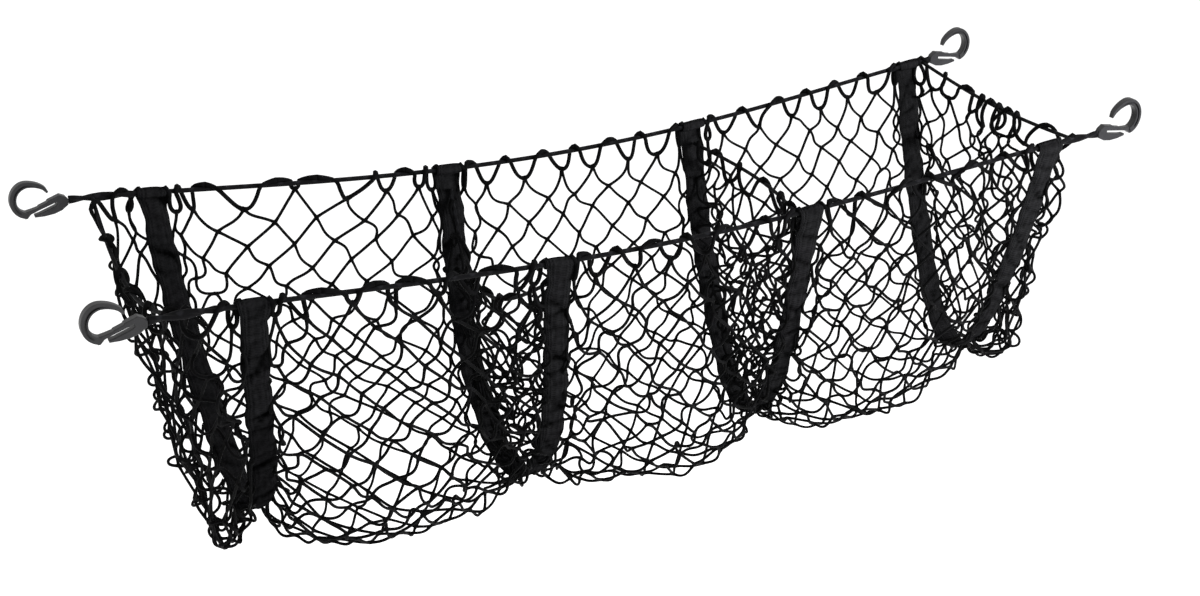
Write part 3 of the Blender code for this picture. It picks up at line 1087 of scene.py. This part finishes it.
def spread_loops(count: int, seed: int, loose: float, longest: float = 0.010, margin: float = 0.0) -> Loops:
    """Return loops along a cord: nearly even shares, short and long in turn.

    Args:
        count: number of gaps between loops.
        seed: start of the random draw.
        loose: how far a loop may stray, in gaps.
        longest: half length of the longest loop on the cord.
        margin: share of the cord that the first and the last gap take.
    """
    shortest = 0.0035
    rng = np.random.default_rng(seed)
    shares = np.linspace(0.0, 1.0, count + 1)
    if margin > 0:
        shares = np.concatenate([[0.0], np.linspace(margin, 1 - margin, count - 1), [1.0]])
    shares[2:-2] += rng.uniform(-loose, loose, count - 3) / count
    long_ones = longest * rng.uniform(0.8, 1.1, count + 1)
    halves = np.where(np.arange(count + 1) % 2 == 0, shortest, long_ones)
    return tuple((float(s), float(h)) for s, h in zip(shares, halves))


BAYS = (
    Bay(
        "1", left=0, bulge=0.052, deepest=0.32, columns=8, rows=36, bar=0.0360, shear=-0.05,
        back_loops=(
            (0.0, 0.004), (0.045, 0.003), (0.14, 0.012), (0.39, 0.018, 0.006), (0.54, 0.020),
            (0.76, 0.003, 0.016), (0.875, 0.009, 0.016), (0.955, 0.003), (1.0, 0.003),
        ),
        front_loops=(
            (0.0, 0.004, 0.012), (0.05, 0.004), (0.18, 0.022, 0.010), (0.36, 0.016),
            (0.50, 0.014, 0.012), (0.64, 0.008), (0.82, 0.018), (0.95, 0.004), (1.0, 0.004),
        ),
    ),
    Bay(
        "2", left=1, bulge=0.044, deepest=0.62, columns=8, rows=34, bar=0.0365, shear=0.01,
        back_loops=spread_loops(8, 5, 0.10, 0.012, 0.035),
        front_loops=spread_loops(8, 6, 0.25, 0.014, 0.035),
    ),
    Bay(
        "3", left=2, bulge=0.050, deepest=0.45, columns=8, rows=35, bar=0.0360, shear=0.05,
        back_loops=spread_loops(8, 7, 0.15, 0.012, 0.035),
        front_loops=spread_loops(8, 8, 0.25, 0.014, 0.035),
    ),
)


# Powers that make an end's humps blunt across, and move them down, for bulge and drop.
BULGE_SHAPE, DROP_SHAPE = (0.7, 2.3), (0.6, 3)


@dataclass(frozen=True)
class EndPanel:
    """An end closure: its top cord, and how its net hangs out and down."""

    name: str
    station: int
    outward: int
    back_x: float
    front_x: float
    sag: float
    bow: float
    bulge: float
    drop: float
    columns: int
    rows: int
    loops: Loops
    foot_share: float = 0.42
    corner: float = 0.125

    def cord_line(self, share: Array) -> Array:
        """Return the centre of the top cord, from the back cord to the front."""
        share = np.asarray(share, float)
        reach = BACK_CORD.radius + CROSS_CORD_GAP
        back = BACK_CORD.centre(self.back_x) - np.array([0.0, reach, 0.0])
        front = FRONT_CORD.centre(self.front_x) + np.array([0.0, reach, 0.0])
        hump = np.sin(math.pi * share)[..., None]
        bend = np.array([self.outward * self.bow, 0.0, -self.sag])
        return back + (front - back) * share[..., None] + bend * hump

    def top_line(self, across: Array) -> Array:
        """Return the whole top edge: along each main cord, then the top cord."""
        across = np.asarray(across, float)
        station = STATIONS[self.station]
        beside = self.outward * station.width / 2
        start, stop = station.back_x + beside, station.front_x + beside
        near = np.clip(across / self.corner, 0, 1)
        far = np.clip((1 - across) / self.corner, 0, 1)
        on_back = BACK_CORD.centre(start + (self.back_x - start) * near)
        on_front = FRONT_CORD.centre(stop + (self.front_x - stop) * far)
        on_cross = self.cord_line(np.clip((across - self.corner) / (1 - 2 * self.corner), 0, 1))
        edge = np.where((across <= self.corner)[..., None], on_back, on_cross)
        return np.where((across >= 1 - self.corner)[..., None], on_front, edge)

    def surface(self) -> Surface:
        """Return the closure's surface, from its top edge to the sleeve's foot."""
        station = STATIONS[self.station]
        beside = ALONG_X * self.outward * station.width / 2
        foot = self.foot_share
        below = np.array([0.0, 0.0, -BACK_CORD.radius])

        def side(down: Array, share: Array) -> Array:
            """Return points beside the sleeve, drawn under the cord near the top."""
            return station.centre(share) + beside + below * ((1 - down) ** 4)[..., None]

        flat = four_sided(
            lambda across: self.top_line(across) + below,
            lambda down: side(down, foot * down),
            lambda down: side(down, 1 - foot * down),
            lambda across: station.centre(foot + (1 - 2 * foot) * across) + beside,
        )

        def place(across: Array, down: Array) -> Array:
            """Return points, hung out by one sine hump and down by another."""
            middle = np.maximum(np.sin(math.pi * across), 0)
            out, drop = (
                size * middle ** blunt * np.sin(math.pi * down ** low)
                for size, (blunt, low) in ((self.bulge, BULGE_SHAPE), (self.drop, DROP_SHAPE))
            )
            return flat(across, down) + np.stack([self.outward * out, np.zeros_like(out), -drop], axis=-1)

        return place

    def net(self, seed: int) -> Net:
        """Return the closure's netting."""
        return Net(
            "net_end_" + self.name, self.surface(), self.columns, self.rows, seed=seed,
            unevenness=0.006, selvedge=0.045, top_line=self.top_line, top_loops=self.loops,
        )


END_PANELS = (
    EndPanel(
        "left", station=0, outward=-1, back_x=-0.517, front_x=-0.497, sag=0.045, bow=0.010,
        bulge=0.013, drop=0.072, columns=10, rows=14, loops=spread_loops(10, 11, 0.15, 0.008, 0.05),
    ),
    EndPanel(
        "right", station=3, outward=1, back_x=0.526, front_x=0.506, sag=0.010, bow=0.004,
        bulge=0.060, drop=0.060, columns=11, rows=15,
        loops=(
            (0.0, 0.003), (0.125, 0.003), (0.25, 0.006), (0.36, 0.008), (0.44, 0.002, 0.038),
            (0.483, 0.002, 0.040), (0.526, 0.002, 0.040), (0.569, 0.002, 0.038),
            (0.615, 0.003, 0.030), (0.76, 0.010), (0.88, 0.003), (1.0, 0.003),
        ),
    ),
)


@dataclass(frozen=True)
class Divider:
    """A cross wall inside a sleeve: its sagging top cord and its netting."""

    name: str
    station: int
    sag: float
    lean: float
    bow: float
    columns: int
    rows: int
    loops: Loops
    top_share: float = 0.030
    foot_share: float = 0.42
    cord_margin: float = 0.03
    half_thickness: float = 0.0030
    cross_radius: float = 0.0020

    def inside(self, share: Array, away: float = 0.0) -> Array:
        """Return points this far inside the sleeve's inner face."""
        station = STATIONS[self.station]
        return station.centre(share) - station.outward(share) * (self.half_thickness + away)

    def cord_line(self, share: Array) -> Array:
        """Return the centre of the top cord, from the back of the sleeve."""
        share = np.asarray(share, float)
        back = self.inside(self.top_share, CROSS_CORD_GAP)
        front = self.inside(1 - self.top_share, CROSS_CORD_GAP)
        points = back + (front - back) * share[..., None]
        dip = self.sag * np.sin(math.pi * share ** self.lean)
        bend = self.bow * np.sin(math.pi * share)
        return points + np.stack([bend, np.zeros_like(dip), -dip], axis=-1)

    def top_line(self, share: Array) -> Array:
        """Return the part of the top cord that the net hangs from."""
        return self.cord_line(self.cord_margin + (1 - 2 * self.cord_margin) * np.asarray(share, float))

    def surface(self) -> Surface:
        """Return the wall's surface inside its sleeve."""
        begin = self.top_share + 0.008
        foot = self.foot_share
        below = UP * self.cross_radius

        def side(down: Array, back: bool) -> Array:
            """Return a side edge, drawn to the top cord's end near the top."""
            share = begin + (foot - begin) * down
            corner = self.cord_line(self.cord_margin if back else 1 - self.cord_margin) - below
            share = share if back else 1 - share
            first = self.inside(np.full_like(down, begin if back else 1 - begin))
            return self.inside(share) + (corner - first) * ((1 - down) ** 8)[..., None]

        return four_sided(
            lambda across: self.top_line(across) - below,
            lambda down: side(down, True),
            lambda down: side(down, False),
            lambda across: self.inside(foot + (1 - 2 * foot) * across),
        )

    def net(self, seed: int) -> Net:
        """Return the wall's netting."""
        return Net(
            "net_divider_" + self.name, self.surface(), self.columns, self.rows, seed=seed,
            unevenness=0.008, top_line=self.top_line, top_radius=self.cross_radius, top_loops=self.loops,
        )


DIVIDERS = (
    Divider(
        "2", station=1, sag=0.075, lean=0.8, bow=-0.012, columns=7, rows=14,
        loops=spread_loops(7, 21, 0.25),
    ),
    Divider(
        "3", station=2, sag=0.004, lean=1.0, bow=0.022, columns=7, rows=16,
        loops=tuple((share, 0.004) for share in (0.0, 0.12, 0.3, 0.5, 0.68, 0.8, 0.9, 1.0)),
    ),
)


# ------------------------------------------------------------------ sleeves

# Size and wavelength of the waves of a sleeve's edges, and of its creases. The
# creases bend and come and go in longer waves, and those of the back face lag.
EDGE_WAVES = ((0.0010, 0.071), (0.0006, 0.037), (0.0003, 0.019))
CREASES = ((0.0018, 0.034), (0.0013, 0.0195), (0.0006, 0.0103), (0.0002, 0.0057))
CREASE_BEND, CREASE_PATCH, BACK_LAG = 0.09, 0.07, 1.7
# Crease depth at which the cloth's painted shade is darkest.
DEEPEST_CREASE = 0.0022

# Powers of the sine and cosine that give the sleeve's section its blunt edges.
SECTION_ACROSS, SECTION_THROUGH = 0.65, 0.9


@dataclass
class Sleeve:
    """A tube of thin cloth, gathered on its length and looped over both cords."""

    station: Station
    seed: int
    rings: int = 520
    sides: int = 32
    loop_rings: int = 25
    half_thickness: float = 0.0032
    loop_half_thickness: float = 0.0016
    loop_gap: float = 0.0004
    loop_start_deg: float = 80.0
    loop_width: float = 0.031
    fullness: float = 1.08
    settled_at: float = 0.03
    full_at: float = 0.06
    flared_to: float = 0.016

    def path(self) -> tuple[Array, Array, Array, Array, Array]:
        """Work out the path: a loop round each cord and the chain between.

        Returns:
            Centres, outward and width directions, half thicknesses and half
            widths, one row for each ring.
        """
        station = self.station
        radius = BACK_CORD.radius + self.loop_half_thickness + self.loop_gap
        turn = np.linspace(math.radians(self.loop_start_deg), 2 * math.pi, self.loop_rings + 1)
        angle = turn[:-1, None]
        ends = []
        for share, sign, x, cord in (
            (0.0, 1.0, station.back_x, BACK_CORD), (1.0, -1.0, station.front_x, FRONT_CORD)
        ):
            centre, out = station.centre(share), station.outward(share)
            down = np.array([0.0, out[2], -out[1]]) * sign
            radial = np.cos(angle) * out + np.sin(angle) * down
            width = np.tile(cord.direction(x), (self.loop_rings, 1))
            ends.append((centre + radius * radial, radial, width))
        share = np.linspace(0.0, 1.0, self.rings)
        end = np.minimum(share, 1 - share)
        out = station.outward(share)
        centre = station.centre(share) + out * (radius * np.exp(-(end / self.settled_at) ** 2))[:, None]
        width = np.tile(ALONG_X, (self.rings, 1))
        for (_, _, at_cord), reach in zip(ends, (share, 1 - share)):
            width = width + (at_cord[0] - ALONG_X) * np.exp(-(reach / self.settled_at) ** 2)[:, None]
        back, front = ends
        joined = (
            np.concatenate([first, middle, last[::-1]])
            for first, middle, last in zip(back, (centre, out, width), front)
        )
        from_cord = np.concatenate([np.zeros(self.loop_rings), end, np.zeros(self.loop_rings)])
        swell = eased(np.clip(from_cord / self.full_at, 0, 1))
        thick = self.loop_half_thickness + (self.half_thickness - self.loop_half_thickness) * swell
        flare = np.exp(-(from_cord / self.flared_to) ** 2)
        usual = self.fullness * station.width
        half = usual / 2 + (self.loop_width - usual) / 2 * flare
        return *joined, thick, half

    def build(self, material: Material) -> Thing:
        """Loft the gathered tube.

        The section is a flattened superellipse. Its edges wander in sines, and
        its faces carry sharp cross creases: each is one less the size of a
        sine along the path, whose phase bends across the width.

        Returns:
            The finished piece, in the cloth that is given.
        """
        rng = np.random.default_rng(self.seed)
        centres, outs, widths, thick, half = self.path()
        run = run_along(centres)
        along = run[:, None]
        angle = circle(self.sides)
        x = np.sign(np.cos(angle)) * np.abs(np.cos(angle)) ** SECTION_ACROSS
        z = np.sign(np.sin(angle)) * np.abs(np.sin(angle)) ** SECTION_THROUGH
        edge = np.zeros((len(run), 2))
        for size, wave in EDGE_WAVES:
            phase = rng.uniform(0, 2 * math.pi, 2)
            edge = edge + size * np.sin(2 * math.pi * along / wave + phase)
        side = np.where(x[None, :] > 0, edge[:, :1], -edge[:, 1:]) * np.abs(x)
        crease = np.zeros((len(run), self.sides))
        for size, wave in CREASES:
            bend = rng.uniform(-1.5, 1.5, 2)
            phase = rng.uniform(0, 2 * math.pi)
            face = np.where(z >= 0, 0.0, BACK_LAG)
            warp = bend[0] * x + bend[1] * x * np.sin(2 * math.pi * along / CREASE_BEND + phase)
            ridge = 1 - np.abs(np.sin(math.pi * along / wave + warp + phase + face))
            patch = 0.6 + 0.4 * np.sin(2 * math.pi * along / CREASE_PATCH + 3 * phase)
            crease = crease - size * ridge ** 2 * patch
        crease = crease * np.abs(z) ** 0.5 * np.clip(thick / self.half_thickness, 0.35, 1)[:, None]
        wide = half[:, None] * x + side
        deep = thick[:, None] * z + crease * np.sign(z)
        rings = centres[:, None] + widths[:, None] * wide[..., None] + outs[:, None] * deep[..., None]
        name = self.station.name
        about_round = 2.4 * self.station.width
        piece = add_tube("sleeve_cloth_" + name, rings, centres, about_round, material)
        # Painted shade and highlight: zero deep in a crease and one on a ridge; the cloth's shader turns it
        # into darker creases and lighter ridges.
        fold = np.clip(1 + crease / DEEPEST_CREASE, 0, 1)
        layer = piece.data.attributes.new("fold", "FLOAT", "POINT")
        layer.data.foreach_set("value", fold.astype(np.float32).ravel())
        put_in_place(piece, "sleeve_" + name)
        log.info("sleeve %s: %.3f m along its path", name, run[-1])
        return piece


# -------------------------------------------------------------------- cords


def carried_tube(path: Array, radii: Array) -> Array:
    """Carry a round section along a path.

    The section's first direction at each point is the last one less its part
    along the new tangent.

    Args:
        path: centre points.
        radii: radius at each point for each side, of shape (points, sides).

    Returns:
        Rings of shape (points, sides, 3).
    """
    tangent = unit(np.gradient(path, axis=0))
    normal = np.zeros_like(path)
    start = UP
    for k, along in enumerate(tangent):
        start = start - along * start.dot(along)
        start = start / np.linalg.norm(start)
        normal[k] = start
    return path[:, None] + spokes(tangent, normal, radii.shape[1]) * radii[..., None]


def add_cord(name: str, path: Array, radii: Array, radius: float, material: Material) -> Thing:
    """Make a braided cord in place of its solid.

    Args:
        name: the solid's name.
        path: centre points.
        radii: radius at each point for each side, of shape (points, sides).
        radius: the cord's plain radius.
        material: the braid.

    Returns:
        The finished piece.
    """
    turn = 2 * math.pi * radius
    piece = add_tube(name + "_braid", carried_tube(path, radii), path, turn, material)
    put_in_place(piece, name)
    log.info("%s: %.3f m long", name, run_along(path)[-1])
    return piece


@dataclass
class MainCord:
    """An elastic cord from hook to hook, doubled back on itself at both ends."""

    name: str
    line: MainCordLine
    doubled: float = 0.070
    blend: float = 0.012
    twist: float = 0.075
    swell: float = 0.70
    waist: float = 0.35
    end_gap: float = 0.0004
    rings: int = 700
    sides: int = 16

    def build(self, material: Material) -> tuple[Thing, Array]:
        """Loft the cord.

        Where it is doubled, the section is two cords side by side: the radius
        grows to two lobes with a waist between, and the pair turns once round
        in the twist's length.

        Returns:
            The cord, in the braid that is given, and the points that it follows.
        """
        end = self.line.end_x - self.end_gap
        x = np.linspace(-end, end, self.rings)
        path = self.line.centre(x)
        blend = eased(np.clip((np.abs(x) - (end - self.doubled)) / self.blend, 0, 1))
        turned = 2 * math.pi * (end - np.abs(x))[:, None] / self.twist
        lobes = np.abs(np.cos(circle(self.sides) - turned)) ** 1.5 * 1.5 - self.waist
        radii = self.line.radius * (1 + self.swell * blend[:, None] * lobes)
        return add_cord(self.name, path, radii, self.line.radius, material), path


@dataclass
class CrossCord:
    """A thin cord along the top edge of an end net or a divider."""

    name: str
    line: Carrier
    radius: float = 0.0021
    rings: int = 160
    sides: int = 12

    def build(self, material: Material) -> tuple[Thing, Array]:
        """Loft the cord.

        Returns:
            The cord, in the braid that is given, and the points that it follows.
        """
        path = self.line(np.linspace(0.0, 1.0, self.rings))
        radii = np.full((self.rings, self.sides), self.radius)
        return add_cord(self.name, path, radii, self.radius, material), path


# -------------------------------------------------------------------- hooks

# Ramp block, shank and leaf in (u, w): outward from the cord's end, and up.
BODY_OUTLINE = (
    (0.0002, 0.0022), (0.0031, 0.0054), (0.0084, 0.0074), (0.0192, 0.0022), (0.0200, 0.0006),
    (0.0274, -0.0030), (0.0282, -0.0042), (0.0340, -0.0062), (0.0395, -0.0078), (0.0425, -0.0105),
    (0.0398, -0.0149), (0.0376, -0.0146), (0.0346, -0.0106), (0.0328, -0.0096), (0.0280, -0.0072),
    (0.0110, 0.0004), (0.0105, -0.0016), (0.0124, -0.0036), (0.0266, -0.0102), (0.0312, -0.0118),
    (0.0308, -0.0138), (0.0220, -0.0132), (0.0130, -0.0113), (0.0060, -0.0082), (0.0002, -0.0029),
)

# Half of the C's section: the place across its thickness from the inner edge,
# the half width there, both as parts of the whole, and whether it is in the groove.
BOW_SECTION = (
    (-0.50, 0.36, False), (-0.44, 0.5, False), (-0.22, 0.5, False), (-0.19, 0.5, True),
    (0.03, 0.5, True), (0.06, 0.5, False), (0.44, 0.5, False), (0.50, 0.36, False),
)


class HookEnd(Enum):
    """Which end of the cords a hook is on, with its outward sign, tilt and scale."""

    LEFT = ("left", -1, 6.0, 1.06)
    RIGHT = ("right", 1, 16.0, 1.18)


@dataclass
class Hook:
    """A moulded hook: ramp block, shank, free leaf under it and a grooved C."""

    line: MainCordLine
    end: HookEnd
    drop: float = -0.0010
    throat: tuple[float, float] = (0.0373, 0.0039)
    reach_out: float = 0.0134
    reach_in: float = 0.0208
    rise: float = 0.0151
    arc_deg: tuple[float, float] = (-86.0, 136.0)
    beak: tuple[float, float] = (-0.0032, -0.0042)
    heel_thick: float = 0.0064
    thinner_by: float = 0.0042
    heel_wide: float = 0.0090
    narrower_by: float = 0.0045
    groove: float = 0.0018
    body_half_width: float = 0.0028
    rounding: float = 0.0008

    def bow(self) -> tuple[Array, Array, Array]:
        """Work out the C: an oval arc with a sharper inner side.

        u = centre + a cos(t) and w = centre + b sin(t), with a larger a where
        the cosine is negative, from the heel round; a short beak ends it.

        Returns:
            Centre points (u, w), thickness in the plane and width across it.
        """
        t = np.radians(np.linspace(*self.arc_deg, 82))
        a = np.where(np.cos(t) >= 0, self.reach_out, self.reach_in)
        arc = np.column_stack([self.throat[0] + a * np.cos(t), self.throat[1] + self.rise * np.sin(t)])
        beak = arc[-1] + np.linspace(0.0, 1.0, 12)[1:, None] * np.array(self.beak)
        line = np.concatenate([arc, beak])
        for _ in range(4):
            line[1:-1] = 0.25 * line[:-2] + 0.5 * line[1:-1] + 0.25 * line[2:]
        run = np.linspace(0.0, 1.0, len(line))
        thick = self.heel_thick - self.thinner_by * np.clip((run - 0.60) / 0.40, 0, 1) ** 1.2
        wide = self.heel_wide - self.narrower_by * np.clip((run - 0.5) / 0.5, 0, 1) ** 1.5
        return line, thick, wide

    def bow_rings(self) -> Array:
        """Return the C's rings in (u, across, w).

        The section is a rounded block whose two side faces have a groove near
        the inner edge, which runs out before heel and tip.
        """
        centre, thick, wide = self.bow()
        tangent = unit(np.gradient(centre, axis=0))
        out = np.column_stack([tangent[:, 1], -tangent[:, 0]])
        run = np.linspace(0.0, 1.0, len(centre))
        depth = self.groove * np.clip((run - 0.08) / 0.06, 0, 1) * np.clip((0.78 - run) / 0.15, 0, 1)
        rings = []
        for sign in (1, -1):
            for a, y, grooved in BOW_SECTION[::sign]:
                side = sign * (y * wide - (depth if grooved else 0.0))
                place = centre + out * (a * thick)[:, None]
                rings.append(np.column_stack([place[:, 0], side, place[:, 1]]))
        return np.stack(rings, axis=1)

    def placed(self, local: Array) -> Array:
        """Put points in (u, across, w) where the hook is, tipped by its tilt."""
        _, outward, tilt, scale = self.end.value
        angle = math.radians(tilt)
        u, w = local[..., 0] * scale, local[..., 2] * scale
        x = outward * (u * math.cos(angle) - w * math.sin(angle))
        z = u * math.sin(angle) + w * math.cos(angle)
        at = self.line.centre(outward * self.line.end_x)
        return np.stack([at[0] + x, at[1] + local[..., 1], at[2] + self.drop + z], axis=-1)

    def body(self) -> tuple[Array, list]:
        """Make the ramp block, shank and leaf from their outline.

        Returns:
            Vertex places in (u, across, w) and faces.
        """
        curve = bpy.data.curves.new("hook_body", "CURVE")
        curve.dimensions = "2D"
        curve.fill_mode = "BOTH"
        curve.extrude = self.body_half_width
        curve.bevel_depth = self.rounding
        curve.bevel_resolution = 2
        curve.offset = -self.rounding
        spline = curve.splines.new("POLY")
        spline.use_cyclic_u = True
        spline.points.add(len(BODY_OUTLINE) - 1)
        spline.points.foreach_set("co", np.array([(u, w, 0.0, 1.0) for u, w in BODY_OUTLINE]).ravel())
        holder = bpy.data.objects.new("hook_body", curve)
        mesh = bpy.data.meshes.new_from_object(holder)
        points = np.empty(len(mesh.vertices) * 3)
        mesh.vertices.foreach_get("co", points)
        points = points.reshape(-1, 3)[:, [0, 2, 1]]
        mesh.calc_loop_triangles()
        faces = np.empty(len(mesh.loop_triangles) * 3, np.int32)
        mesh.loop_triangles.foreach_get("vertices", faces)
        bpy.data.objects.remove(holder)
        bpy.data.meshes.remove(mesh)
        return points, [faces.reshape(-1, 3)]

    def build(self, material: Material) -> Thing:
        """Join the C and the body into one piece.

        Returns:
            The finished piece, in the plastic that is given.
        """
        where = "back" if self.line.side == BACK else "front"
        name = f"hook_{where}_{self.end.value[0]}"
        body, body_faces = self.body()
        rings = self.bow_rings()
        points = np.concatenate([self.placed(rings).reshape(-1, 3), self.placed(body)])
        offset = rings.shape[0] * rings.shape[1]
        faces = loft(rings) + [f + offset for f in body_faces]
        piece = add_mesh(name + "_moulding", points, faces, material, smooth=False)
        put_in_place(piece, name)
        log.info("%s: %d points", name, len(points))
        return piece


# ------------------------------------------------------------- camera, light


def aimed(right: Array, up: Array, back: Array, place: Vector) -> Matrix:
    """Return the matrix that puts a camera or a light here, looking away from back."""
    turned = np.eye(4)
    turned[:3] = np.column_stack([right, up, back, place])
    return Matrix(turned.tolist())


@dataclass(frozen=True)
class SoftLight:
    """A square light that is left out of reflections.

    The plastic then mirrors the even white surround alone, as in a light tent.
    """

    name: str
    place: Vector
    aim: Vector
    size: float
    power: float

    def add(self) -> None:
        """Put the light in the scene."""
        light = bpy.data.lights.new(self.name, "AREA")
        light.size = self.size
        light.energy = self.power
        thing = bpy.data.objects.new(self.name, light)
        thing.visible_glossy = False
        back = unit(np.array(self.place) - np.array(self.aim))
        right = unit(np.cross(UP, back))
        thing.matrix_world = aimed(right, np.cross(back, right), back, self.place)
        bpy.context.scene.collection.objects.link(thing)


LIGHTS = (
    SoftLight("key", place=(1.15, -1.15, 0.2), aim=(0.40, 0.0, -0.20), size=0.7, power=110.0),
    SoftLight("fill", place=(-1.6, -2.2, 2.4), aim=(0.0, 0.0, -0.1), size=1.6, power=6.0),
)


@dataclass
class Studio:
    """The camera, the pale floor and the soft light."""

    place: Vector = (-0.8222, -1.4864, 0.6549)
    yaw_deg: float = 28.53
    pitch_deg: float = 25.57
    roll_deg: float = 1.02
    focal_px: float = 1699.6
    image_px: int = 1200
    sensor_mm: float = 36.0
    floor_z: float = -1.6
    floor_half: float = 12.0

    def camera(self) -> None:
        """Create the camera at the photograph's viewing angle."""
        yaw, pitch, roll = (math.radians(a) for a in (self.yaw_deg, self.pitch_deg, self.roll_deg))
        level_x, level_y = math.sin(yaw) * math.cos(pitch), math.cos(yaw) * math.cos(pitch)
        forward = np.array([level_x, level_y, -math.sin(pitch)])
        level = unit(np.cross(forward, UP))
        over = np.cross(level, forward)
        right = level * math.cos(roll) + over * math.sin(roll)
        up = over * math.cos(roll) - level * math.sin(roll)
        data = bpy.data.cameras.new("camera")
        data.sensor_width = self.sensor_mm
        data.lens = self.focal_px / self.image_px * self.sensor_mm
        data.clip_start = 0.05
        data.clip_end = 50.0
        thing = bpy.data.objects.new("camera", data)
        thing.matrix_world = aimed(right, up, -forward, self.place)
        bpy.context.scene.collection.objects.link(thing)
        bpy.context.scene.camera = thing

    def floor(self, material: Material) -> None:
        """Lay a wide pale floor well below the hanging net."""
        corners = np.array([(-1, -1, 0), (1, -1, 0), (1, 1, 0), (-1, 1, 0)]) * self.floor_half
        corners = corners + UP * self.floor_z
        add_mesh("studio_floor", corners, [np.array([[0, 1, 2, 3]])], material, smooth=False)

    def lights(self) -> None:
        """Set the white surround and the soft lights."""
        world = bpy.data.worlds.new("studio")
        world.use_nodes = True
        surround = world.node_tree.nodes["Background"].inputs
        surround["Color"].default_value = linear("#ffffff")
        surround["Strength"].default_value = 1.0
        bpy.context.scene.world = world
        bpy.context.scene.view_settings.view_transform = "Standard"
        for light in LIGHTS:
            light.add()


# ----------------------------------------------------------------- assembly


def main() -> None:
    """Build the scene, piece by piece."""
    logging.basicConfig(level=logging.INFO, format="%(message)s")
    yarn = BraidedYarn("braided_polyester", "#030303", "#0a0a0b", roughness=0.70, specular=0.03).make()
    cloth = GatheredCloth("gathered_polyester", "#020202", "#141415", roughness=0.90, specular=0.0).make()
    braid = ElasticBraid("elastic_braid", "#070708", "#121214", roughness=0.65, specular=0.06).make()
    nylon = MouldedNylon("moulded_nylon", "#0c0c0e", "#141416", roughness=0.45, specular=0.46).make()
    paper = StudioPaper("studio_paper", "#f6f6f6", "#ffffff", roughness=0.9).make()

    studio = Studio()
    studio.camera()
    studio.floor(paper)
    studio.lights()

    for line in (BACK_CORD, FRONT_CORD):
        for end in HookEnd:
            Hook(line, end).build(nylon)
    for name, line in (("cord_back", BACK_CORD), ("cord_front", FRONT_CORD)):
        piece, path = MainCord(name, line).build(braid)
    for station, seed in zip(STATIONS, (31, 32, 33, 34)):
        piece = Sleeve(station, seed).build(cloth)
    for bay, seed in zip(BAYS, (41, 42, 43)):
        net = bay.net(seed)
        net.build(yarn)
    for wall, seed in zip(END_PANELS + DIVIDERS, (51, 52, 61, 62)):
        net = wall.net(seed)
        cord_name = "cross_cord_" + wall.name
        net.build(yarn)
        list(CrossCord(cord_name, wall.cord_line).build(braid))


if __name__ == "__main__":
    main()
